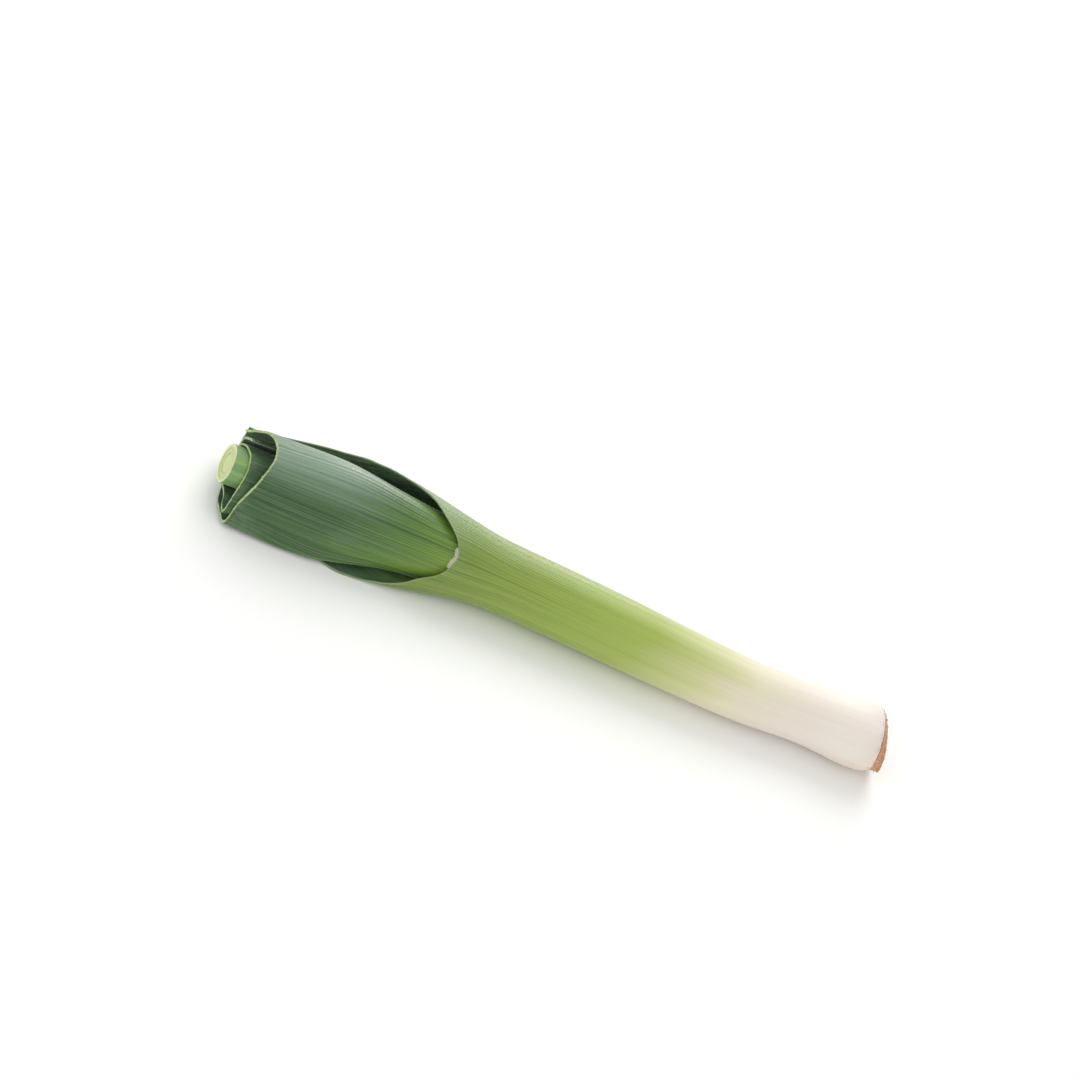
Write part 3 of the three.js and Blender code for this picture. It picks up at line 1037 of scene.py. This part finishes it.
    def fine_hairs(self, finish: bpy.types.Material, rng: np.random.Generator) -> None:
        """Builds the fine, curled ends of torn roots round the rim, but none into the floor.

        Args:
            finish: Their material.
            rng: Where their places are drawn from.
        """
        mesh = Mesh()
        for _ in range(self.hairs):
            angle = rng.uniform(0, 360)
            radius = self.leek.root_rim_radius - rng.uniform(*self.hair_inset)
            station = float(self.face_station(np.array(angle), np.array(radius)))
            station = station + rng.uniform(*self.hair_depth)
            base = Vector(self.leek.place(station, angle, radius))
            way = Vector((rng.uniform(0.0, self.hair_forward), 0, 0)) + self.outward(angle)
            way = (way + Vector(rng.uniform(-self.hair_scatter, self.hair_scatter, 3))).normalized()
            if base.z + way.z * self.hair_room * MM < self.floor_room * MM:
                continue
            width, length = rng.uniform(*self.hair_width), rng.uniform(*self.hair_length)
            self.stub(mesh, base, way, width, length, rng)
        mesh.piece("root_hairs", Slot.ROOT_PLATE, finish, sharp=60)


@dataclass(frozen=True)
class SkinFlakes:
    """Thin torn scraps of the oldest, dried skins round the foot of the bulb.

    Each pair gives the least and the most, except bare, the angles where the leek lies on the
    floor and has none.
    """

    count: int = 15
    seed: int = 19
    foot: float = 4.6
    width: tuple[float, float] = (3, 9)
    reach: tuple[float, float] = (0.7, 2.6)
    lift: tuple[float, float] = (0.02, 0.16)
    bare: tuple[float, float] = (225, 315)
    uneven: float = 6.0
    clear: float = 0.02
    thick: float = 0.05
    leaf: BigLeaf = BIG_LEAVES[0]

    def build(self, finish: bpy.types.Material) -> None:
        """Builds every scrap into one piece.

        Args:
            finish: Their material.
        """
        rng = np.random.default_rng(self.seed)
        mesh = Mesh()
        for index in range(self.count):
            middle = index * 360 / self.count + rng.uniform(-self.uneven, self.uneven)
            if self.bare[0] < middle % 360 < self.bare[1]:
                continue
            self.flake(mesh, middle, rng.uniform(*self.width), rng.uniform(*self.reach), rng)
        mesh.piece("skin_flakes", Slot.OUTER_LEAF, finish, sharp=60)

    def flake(
        self, mesh: Mesh, middle: float, width: float, reach: float, rng: np.random.Generator
    ) -> None:
        """Adds one scrap: fixed at the foot, ragged and lifting at its free edge.

        Args:
            mesh: What the scraps are gathered in.
            middle: The angle of its middle, in degrees.
            width: Half its width, in degrees.
            reach: Its length, in mm.
            rng: Where its ragged edge and its lift are drawn from.
        """
        across = np.linspace(-1, 1, 17)[None, :]
        along = np.linspace(0, 1, 9)[:, None]
        ragged = 1 + 0.35 * ripple((across + 1) * 90, int(rng.integers(999)), (3, 7, 11))
        narrow = 1 - 0.45 * along**2
        angle = middle + width * across * narrow + 2 * along
        station = self.foot + reach * along * ragged * (1 - 0.35 * across**2)
        lift = rng.uniform(*self.lift) * along**2 + 0.03 * np.sin(across * 5 + along * 4)
        base = self.leaf.radius(station, angle) + self.clear + np.maximum(lift, 0)
        leek = self.leaf.leek
        top, under = leek.place(station, angle, base + self.thick), leek.place(station, angle, base)
        mesh.slab(top, under, self.leaf.grain_of(station, angle), np.zeros_like(top))


@dataclass(frozen=True)
class Ligule:
    """The thin pale skin that stands up from the notch and hugs the leaf inside.

    It runs half_width degrees each way from its centre, so many degrees past the notch. It starts
    tucked in behind the margin, sunk under the outer leaf's skin, and bends over to the inner
    leaf within the share called bend of its height.
    """

    half_width: float = 19.0
    centre: float = -4.0
    reach: float = 1.7
    thick: float = 0.14
    tucked: float = 0.9
    sunk: float = 0.55
    bend: float = 0.55
    clear: float = 0.16
    margin_length: float = 30.0
    outer: BigLeaf = BIG_LEAVES[0]
    inner: BigLeaf = BIG_LEAVES[1]

    def margin_station(self, away: np.ndarray) -> np.ndarray:
        """Finds the outer leaf's margin.

        Args:
            away: Degrees from the notch, below 0 on its lower side.

        Returns:
            The margin's station there.
        """
        start = self.outer.notch_station
        stations = np.linspace(start, start + self.margin_length, 200)
        high = np.interp(np.abs(away), through(self.outer.upper, stations), stations)
        low = np.interp(np.abs(away), through(self.outer.lower, stations), stations)
        return np.where(away > 0, high, low)

    def build(self, finish: bpy.types.Material) -> None:
        """Builds the skin, fading to nothing at both ends.

        Args:
            finish: Its material.
        """
        away = np.linspace(-1, 1, 61)[None, :]
        up = np.linspace(0, 1, 9)[:, None]
        turned = self.centre + self.half_width * away
        angle = self.outer.notch_angle + turned
        wavy = 1 + 0.06 * ripple((away + 1) * 180, 4, (3, 5, 9))
        reach = self.reach * (1 - away**2) ** 0.7 * wavy
        station = self.margin_station(turned) - self.tucked + (reach + self.tucked) * up
        under = self.inner.radius(station, angle) + self.inner.relief(station, angle)
        start = self.outer.radius(station, angle) - self.sunk
        radius = start + (under + self.clear - start) * smoothstep(up, 0.0, self.bend)
        grain = self.outer.grain_of(station, angle)
        leek = self.outer.leek
        top, low = leek.place(station, angle, radius + self.thick), leek.place(station, angle, radius)
        mesh = Mesh()
        mesh.slab(top, low, grain, together(radius.shape, 0.0, 0.0, 1.0))
        mesh.piece("ligule", Slot.OUTER_LEAF, finish, sharp=70)


class Shader:
    """A material's nodes, added and joined with few words."""

    def __init__(self, name: str) -> None:
        """Starts a material with one principled shader.

        Args:
            name: The material's name.
        """
        self.material = bpy.data.materials.new(name)
        self.material.use_nodes = True
        self.nodes = self.material.node_tree.nodes
        self.links = self.material.node_tree.links
        self.skin = self.nodes["Principled BSDF"]

    def put(self, socket: Socket, value: object) -> None:
        """Fills in a socket.

        Args:
            socket: The socket.
            value: Another socket to link it to, or the value that it takes.
        """
        if isinstance(value, Socket):
            self.links.new(value, socket)
        else:
            socket.default_value = value

    def attribute(self, name: str) -> Socket:
        """Reads one of the mesh's own vectors.

        Args:
            name: The vector's name.

        Returns:
            The vector.
        """
        node = self.nodes.new("ShaderNodeAttribute")
        node.attribute_name = name
        return node.outputs["Vector"]

    def parts(self, vector: Socket) -> bpy.types.NodeOutputs:
        """Splits a vector.

        Args:
            vector: The vector.

        Returns:
            Its three numbers.
        """
        node = self.nodes.new("ShaderNodeSeparateXYZ")
        self.put(node.inputs[0], vector)
        return node.outputs

    def calc(self, kind: str, first: object, second: object = 0.0, third: object = 0.0) -> Socket:
        """Works out one step of arithmetic.

        Args:
            kind: Blender's name for the step, such as MULTIPLY_ADD.
            first: The first number.
            second: The second number, where the step takes one.
            third: The third number, where the step takes one.

        Returns:
            The result.
        """
        node = self.nodes.new("ShaderNodeMath")
        node.operation = kind
        for socket, value in zip(node.inputs, (first, second, third)):
            self.put(socket, value)
        return node.outputs[0]

    def product(self, first: object, *factors: object) -> object:
        """Multiplies numbers.

        Args:
            first: The first number.
            factors: The others.

        Returns:
            The product.
        """
        for factor in factors:
            first = self.calc("MULTIPLY", first, factor)
        return first

    def stretched(self, vector: Socket, scale: Triple) -> Socket:
        """Scales a place, so that noise read there runs in streaks.

        Args:
            vector: The place.
            scale: How much it is scaled each way.

        Returns:
            The scaled place.
        """
        node = self.nodes.new("ShaderNodeMapping")
        self.put(node.inputs["Vector"], vector)
        node.inputs["Scale"].default_value = scale
        return node.outputs[0]

    def noise(self, vector: Socket, scale: float, detail: float = 3, rough: float = 0.5) -> Socket:
        """Reads noise from 0 to 1.

        Args:
            vector: The place.
            scale: How close the noise is.
            detail: How many finer layers are added.
            rough: How strong those are.

        Returns:
            The noise.
        """
        node = self.nodes.new("ShaderNodeTexNoise")
        self.put(node.inputs["Vector"], vector)
        node.inputs["Scale"].default_value = scale
        node.inputs["Detail"].default_value = detail
        node.inputs["Roughness"].default_value = rough
        return node.outputs[0]

    def streaks(
        self, grain: Socket, across: float, along: float, detail: float = 3, rough: float = 0.5
    ) -> Socket:
        """Reads noise from 0 to 1 that is close across a leaf and long along it."""
        return self.noise(self.stretched(grain, (across, across, along)), 1.0, detail, rough)

    def tint(self, vector: Socket, scale: float) -> Socket:
        """Reads coloured noise, with which a place is bent before it is read again.

        Args:
            vector: The place.
            scale: How close the noise is.

        Returns:
            The noise as a colour.
        """
        node = self.nodes.new("ShaderNodeTexNoise")
        self.put(node.inputs["Vector"], vector)
        node.inputs["Scale"].default_value = scale
        return node.outputs["Color"]

    def remap(
        self, value: object, low: float, high: float, out_low: float = 0, out_high: float = 1
    ) -> Socket:
        """Stretches a range to another one, smoothly, and holds it there.

        Args:
            value: The number.
            low: Where its range starts.
            high: Where its range ends.
            out_low: What low becomes.
            out_high: What high becomes.

        Returns:
            The stretched number.
        """
        node = self.nodes.new("ShaderNodeMapRange")
        node.interpolation_type = "SMOOTHSTEP"
        for socket, number in zip(node.inputs[:5], (value, low, high, out_low, out_high)):
            self.put(socket, number)
        return node.outputs[0]

    def ramp(self, value: Socket, stops: Ramp) -> Socket:
        """Runs through colours.

        Args:
            value: A number from 0 to 1.
            stops: The colours, each with the number that it stands at.

        Returns:
            The colour at the number.
        """
        node = self.nodes.new("ShaderNodeValToRGB")
        self.put(node.inputs[0], value)
        elements = node.color_ramp.elements
        while len(elements) < len(stops):
            elements.new(0.5)
        for element, (at, code) in zip(elements, stops):
            element.position = at
            element.color = colour(code)
        return node.outputs[0]

    def mix(self, share: object, first: object, second: object, kind: str = "MIX") -> Socket:
        """Mixes two colours.

        Args:
            share: How much of the second goes in, from 0 to 1.
            first: The first colour.
            second: The second colour.
            kind: Blender's name for the way they mix.

        Returns:
            The mixed colour.
        """
        node = self.nodes.new("ShaderNodeMix")
        node.data_type = "RGBA"
        node.blend_type = kind
        for socket, value in ((node.inputs[0], share), (node.inputs[6], first), (node.inputs[7], second)):
            self.put(socket, value)
        return node.outputs[2]

    def bump(self, height: Socket, distance: float, strength: float) -> None:
        """Gives the surface fine relief.

        Args:
            height: The relief, from 0 to 1.
            distance: How high 1 is, in metres.
            strength: How much of it shows, from 0 to 1.
        """
        node = self.nodes.new("ShaderNodeBump")
        node.inputs["Strength"].default_value = strength
        node.inputs["Distance"].default_value = distance
        self.put(node.inputs["Height"], height)
        self.put(self.skin.inputs["Normal"], node.outputs[0])

    def set(self, **values: object) -> None:
        """Sets the shader's own sockets, with _ for each space in their names."""
        for name, value in values.items():
            self.put(self.skin.inputs[name.replace("_", " ")], value)


@dataclass(frozen=True)
class LeafFinish:
    """A waxy leaf: colours along it, darker streaks between its veins, bloom and cut edges.

    Its green, its bloom and a painted highlight on top come in over a pair of stations each.
    """

    name: str
    along: Ramp
    inside: Ramp
    edge: str
    streak: str
    streak_share: float
    bloom_and_highlight: str
    bloom_share: float
    margin: str
    margin_share: float = 0.3
    pale_streak: str = "b3c79a"
    fresh_cut: str = "86a65c"
    green_from: tuple[float, float] = (110.0, 250.0)
    # Where bloom and the painted highlight come in, and how strong that painted highlight on the upper
    # side is.
    bloom_and_highlight_from: tuple[float, float] = (255.0, 300.0)
    painted_top_highlight: float = 0.3
    sheen: float = 0.12
    veins: float = 82.0
    roughness: tuple[float, float] = (0.3, 0.46)
    subsurface: float = 0.12

    def material(self) -> bpy.types.Material:
        """Builds the material.

        Returns:
            The material, for a mesh that has grain and marks.
        """
        shader = Shader(self.name)
        grain = shader.attribute("grain")
        rim, inner, margin = shader.parts(shader.attribute("marks"))[:3]
        x, y, station = shader.parts(grain)[:3]
        broad = shader.streaks(grain, 0.22, 0.004, 2)
        fine = shader.streaks(grain, 0.9, 0.006, 4, 0.65)
        finest = shader.streaks(grain, 4.2, 0.02, 2)

        # Colours along the leaf, whose borders drift a few millimetres from streak to streak.
        drift = shader.calc("MULTIPLY_ADD", broad, 24.0, shader.calc("MULTIPLY_ADD", y, 0.8, -20.0))
        drift = shader.calc("MULTIPLY_ADD", fine, 16.0, shader.calc("SUBTRACT", drift, 8.0))
        share = shader.calc("DIVIDE", shader.calc("ADD", station, drift), Leek.length)
        body = shader.mix(inner, shader.ramp(share, self.along), shader.ramp(share, self.inside))

        # Dark grooves between veins that aren't quite even, then deeper and paler streaks.
        green = shader.remap(station, *self.green_from, 0.08, 1.0)
        around = shader.calc("MULTIPLY", shader.calc("ARCTAN2", y, x), self.veins)
        around = shader.calc("MULTIPLY_ADD", broad, 4.0, around)
        around = shader.calc("MULTIPLY_ADD", fine, 3.0, around)
        vein = shader.remap(shader.calc("SINE", around), -0.6, 1.0)
        dark = shader.product(vein, shader.remap(fine, 0.36, 0.62), green, self.streak_share)
        body = shader.mix(dark, body, colour(self.streak), "MULTIPLY")
        deep = shader.product(shader.remap(fine, 0.5, 0.66), green, 0.35)
        body = shader.mix(deep, body, colour(self.streak), "MULTIPLY")
        pale = shader.product(shader.remap(finest, 0.5, 0.68), green, 0.16)
        body = shader.mix(pale, body, colour(self.pale_streak))

        # Whitish bloom in patches, and a painted highlight of the same pale colour on the leek's upper
        # side.
        patch = shader.streaks(grain, 0.12, 0.03, 4, 0.6)
        speck = shader.streaks(grain, 0.9, 0.3)
        bloom_and_highlight_zone = shader.remap(station, *self.bloom_and_highlight_from)
        patchy = shader.remap(patch, 0.42, 0.68)
        # The share of bloom patches, which is the wax's own colour.
        bloom_and_highlight = shader.product(patchy, shader.remap(speck, 0.3, 0.7, 0.6, 1.0), bloom_and_highlight_zone, self.bloom_share)
        # Painted highlight: the upper side is lightened towards the bloom colour, standing in for the
        # lamps' reflection.
        painted_highlight = shader.product(shader.remap(y, 9.0, 14.4), shader.remap(fine, 0.35, 0.6, 0.45, 1.0))
        painted_highlight = shader.product(painted_highlight, bloom_and_highlight_zone, self.painted_top_highlight)
        body = shader.mix(shader.calc("MAXIMUM", bloom_and_highlight, painted_highlight), body, colour(self.bloom_and_highlight))

        # The pale margin, and the fresh cut at the leaf's end.
        body = shader.mix(shader.product(margin, self.margin_share), body, colour(self.margin))
        fresh = shader.remap(shader.noise(grain, 1.3), 0.4, 0.65)
        body = shader.mix(rim, body, shader.mix(fresh, colour(self.edge), colour(self.fresh_cut)))

        relief = shader.calc("MULTIPLY_ADD", finest, 0.25, shader.product(vein, green, -0.5))
        relief = shader.calc("MULTIPLY_ADD", speck, 0.15, relief)
        shader.bump(relief, 0.00035, 0.45)
        gloss = shader.remap(shader.calc("ADD", fine, bloom_and_highlight), 0.3, 0.9, *self.roughness)
        shader.set(
            Base_Color=body, Roughness=gloss, Subsurface_Weight=self.subsurface,
            Subsurface_Radius=(0.004, 0.006, 0.002), Subsurface_Scale=0.6, Specular_IOR_Level=0.5,
            Sheen_Weight=self.sheen, Sheen_Roughness=0.3,
        )
        return shader.material


@dataclass(frozen=True)
class HeartFinish:
    """Young, pale leaves: green on the outside near the cut, with faint rings on the cut face."""

    name: str = "heart_leaf"
    along: Ramp = (
        (0.0, "efe9d8"), (0.6, "e6e6b8"), (0.85, "b4c87c"), (0.97, "7a9f62"), (1.0, "72986a"),
    )
    dark_streak: str = "5f8c56"
    bright_streak: str = "a9cc6a"
    inside: str = "dfe6b4"
    face: tuple[str, str] = ("cbd899", "b9c882")
    brown_ring: str = "d8b795"
    outer_ring: str = "e3eab8"
    ring_waves: float = 68.0

    def material(self) -> bpy.types.Material:
        """Builds the material.

        Returns:
            The material, for a mesh that has grain and marks.
        """
        shader = Shader(self.name)
        grain = shader.attribute("grain")
        rim, inner, size = shader.parts(shader.attribute("marks"))[:3]
        station = shader.parts(grain)[2]
        fine = shader.streaks(grain, 1.7, 0.01)
        broad = shader.streaks(grain, 0.28, 0.01, 2)

        # The rolled leaf's side.
        side = shader.ramp(shader.calc("DIVIDE", station, Leek.length), self.along)
        side = shader.mix(shader.remap(fine, 0.45, 0.7, 0, 0.35), side, colour(self.dark_streak))
        side = shader.mix(shader.remap(broad, 0.4, 0.7, 0, 0.4), side, colour(self.bright_streak))
        side = shader.mix(shader.product(inner, 0.6), side, colour(self.inside))

        # The rings of its cut face, not quite round.
        waves = shader.calc("MULTIPLY_ADD", size, self.ring_waves, shader.product(broad, 2.0))
        rings = shader.calc("SINE", waves)
        face = shader.mix(shader.remap(rings, 0.2, 0.95), *(colour(code) for code in self.face))
        face = shader.mix(shader.remap(rings, -0.7, -1.0, 0, 0.4), face, colour(self.brown_ring))
        face = shader.mix(shader.remap(size, 0.78, 0.9, 0, 0.7), face, colour(self.outer_ring))

        shader.bump(shader.calc("ADD", fine, shader.product(rings, 0.15)), 0.0003, 0.4)
        shader.set(
            Base_Color=shader.mix(rim, side, face), Roughness=shader.remap(fine, 0.3, 0.7, 0.34, 0.5),
            Subsurface_Weight=0.25, Subsurface_Radius=(0.006, 0.008, 0.003), Subsurface_Scale=0.6,
            Specular_IOR_Level=0.45,
        )
        return shader.material


@dataclass(frozen=True)
class RootFinish:
    """Dry, tan and fibrous, pinker where it was cut."""

    name: str = "root_skin"
    side: Ramp = ((0.3, "a06a45"), (0.44, "c99069"), (0.56, "deae88"), (0.7, "f2e0cb"))
    face: Ramp = ((0.3, "9c5f45"), (0.42, "c98d70"), (0.58, "dca687"), (0.72, "f1d3b8"))
    ochre: str = "d59a52"

    def material(self) -> bpy.types.Material:
        """Builds the material.

        Returns:
            The material, for a mesh that has grain and marks.
        """
        shader = Shader(self.name)
        place = shader.attribute("grain")
        cut = shader.parts(shader.attribute("marks"))[0]
        grit = shader.noise(place, 1.6, 5, 0.65)
        bent = shader.mix(0.12, place, shader.tint(place, 0.7), "ADD")
        fibre = shader.noise(shader.stretched(bent, (0.6, 2.6, 1.3)), 1.0, 5, 0.65)
        side, face = shader.ramp(grit, self.side), shader.ramp(fibre, self.face)
        body = shader.mix(shader.remap(cut, 0.3, 0.9), side, face)
        patch = shader.remap(shader.noise(place, 0.28), 0.5, 0.66, 0, 0.35)
        body = shader.mix(patch, body, colour(self.ochre))
        shader.bump(shader.calc("ADD", grit, fibre), 0.0007, 0.7)
        shader.set(
            Base_Color=body, Roughness=shader.remap(grit, 0.3, 0.7, 0.6, 0.9), Specular_IOR_Level=0.3,
            Subsurface_Weight=0.1, Subsurface_Radius=(0.003, 0.002, 0.001), Subsurface_Scale=0.5,
        )
        return shader.material


OUTER_FINISH = LeafFinish(
    name="outer_leaf_skin",
    along=(
        (0.0, "eadccb"), (0.04, "ede3da"), (0.16, "e9dfd1"), (0.24, "e2dbbe"), (0.3, "cbcd95"),
        (0.4, "a1b255"), (0.5, "94a947"), (0.6, "889c3e"), (0.68, "778f36"), (0.74, "5f7f3c"),
        (0.82, "3f6437"), (1.0, "345634"),
    ),
    inside=((0.0, "f0ead8"), (0.5, "c8d488"), (0.68, "6a8a50"), (0.76, "42604a"), (1.0, "385642")),
    edge="bcc790", streak="7da868", streak_share=0.4, bloom_and_highlight="b7c6a4", bloom_share=0.15,
    # A weak painted highlight on the upper side, from the throat on.
    margin="b4ba8c", subsurface=0.14, bloom_and_highlight_from=(224.0, 246.0), painted_top_highlight=0.25,
)
LIGULE_FINISH = LeafFinish(
    name="ligule_skin", along=((0.0, "d3d5bb"), (1.0, "ccd0b2")),
    inside=((0.0, "d3d5bb"), (1.0, "ccd0b2")), edge="d8dac4", streak="b9c49a", streak_share=0.3,
    bloom_and_highlight="dadccb", bloom_share=0.2, margin="d6d8c0", subsurface=0.25,
)
INNER_FINISH = LeafFinish(
    name="green_leaf_skin",
    along=(
        (0.0, "f0ead8"), (0.5, "c8d07c"), (0.64, "8fa73a"), (0.7, "6c8d2e"), (0.76, "54792d"),
        (0.84, "3d602f"), (1.0, "365834"),
    ),
    inside=((0.0, "f0ead8"), (0.6, "b9cb76"), (0.75, "42614a"), (1.0, "365642")),
    edge="aebd86", streak="5f8f58", streak_share=0.55, bloom_and_highlight="93a995", bloom_share=0.17,
    # A strong painted highlight along the upper side.
    margin="8fa878", fresh_cut="86a35c", roughness=(0.27, 0.42), painted_top_highlight=0.75, sheen=0.3,
)


@dataclass(frozen=True)
class Lamp:
    """A square soft light. Its place and its width are in metres, and its power in watts."""

    name: str
    place: Triple
    width: float
    power: float


LAMPS = (
    Lamp("top_light", (0.15, 0.75, 0.95), 0.8, 5.2),
    Lamp("back_light", (0.3, 1.35, 0.35), 0.5, 3.2),
    Lamp("side_light", (-0.9, -0.7, 0.7), 0.8, 3.0),
)


@dataclass(frozen=True)
class Studio:
    """The floor, the lights and the camera, which looks from the photograph's side.

    The camera stands distance metres from the leek's middle, at its azimuth and elevation, rolled
    about its own axis. It looks at a point aim_right and aim_up mm off that middle in the picture.
    """

    azimuth: float = -22.0
    elevation: float = 42.0
    roll: float = 37.37
    distance: float = 1.1
    lens: float = 78.51
    sensor: float = 36.0
    middle: Triple = (0.0, 0.0, 0.0165)
    aim_right: float = -13.97
    aim_up: float = 29.76
    floor_half: float = 6.0
    room_light: float = 0.8

    def build(self) -> None:
        """Sets up everything round the leek."""
        self.floor()
        self.world()
        for lamp in LAMPS:
            self.hang(lamp)
        self.camera()

    def floor(self) -> None:
        """Lays a wide pale floor."""
        mesh = bpy.data.meshes.new("floor")
        corners = [(x * self.floor_half, y * self.floor_half, 0) for x, y in FLOOR_CORNERS]
        mesh.from_pydata(corners, [], [(0, 1, 2, 3)])
        shader = Shader("floor_paint")
        place = shader.nodes.new("ShaderNodeTexCoord").outputs["Object"]
        shade = shader.remap(shader.noise(place, 3.0, 2), 0.3, 0.7)
        shader.set(Base_Color=shader.mix(shade, colour("f7f8f5"), colour("fafaf8")), Roughness=0.8)
        mesh.materials.append(shader.material)
        into_scene("floor", mesh)

    def world(self) -> None:
        """Fills the room with even white light."""
        world = bpy.data.worlds.new("studio")
        world.use_nodes = True
        back = world.node_tree.nodes["Background"]
        back.inputs["Color"].default_value = (1.0, 1.0, 1.0, 1.0)
        back.inputs["Strength"].default_value = self.room_light
        bpy.context.scene.world = world
        bpy.context.scene.view_settings.view_transform = "Standard"

    def hang(self, lamp: Lamp) -> None:
        """Hangs a lamp that faces the leek.

        Args:
            lamp: The lamp.
        """
        light = bpy.data.lights.new(lamp.name, "AREA")
        light.size = lamp.width
        light.energy = lamp.power
        made = into_scene(lamp.name, light)
        made.location = lamp.place
        way = Vector(self.middle) - Vector(lamp.place)
        made.rotation_euler = way.to_track_quat("-Z", "Y").to_euler()

    def camera(self) -> None:
        """Places the camera, turned about its own axis as the photograph shows the leek."""
        turn, rise = math.radians(self.azimuth), math.radians(self.elevation)
        back = Vector((math.sin(turn) * math.cos(rise), -math.cos(turn) * math.cos(rise), math.sin(rise)))
        right = Vector((math.cos(turn), math.sin(turn), 0))
        up = back.cross(right)
        roll = math.radians(self.roll)
        image_right = right * math.cos(roll) + up * math.sin(roll)
        image_up = up * math.cos(roll) - right * math.sin(roll)
        place = Vector(self.middle) + back * self.distance
        target = Vector(self.middle) + image_right * self.aim_right * MM + image_up * self.aim_up * MM
        out = (place - target).normalized()
        across = image_up.cross(out).normalized()
        axes = Matrix((across, out.cross(across), out)).transposed()
        made = into_scene("camera", bpy.data.cameras.new("camera"))
        made.data.lens = self.lens
        made.data.sensor_width = self.sensor
        made.matrix_world = Matrix.Translation(place) @ axes.to_4x4()
        bpy.context.scene.camera = made


def main() -> None:
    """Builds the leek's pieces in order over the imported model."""
    logging.basicConfig(level=logging.INFO, format="%(name)s: %(message)s")
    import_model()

    outer, inner = OUTER_FINISH.material(), INNER_FINISH.material()
    heart, root = HeartFinish().material(), RootFinish().material()
    for leaf in BIG_LEAVES:
        leaf.build(outer if leaf.layer == 0 else inner)
    for rolled in HEART_LEAVES:
        rolled.build(heart)
    RootPlate().build(root)
    SkinFlakes().build(outer)
    Ligule().build(LIGULE_FINISH.material())
    Studio().build()


if __name__ == "__main__":
    main()
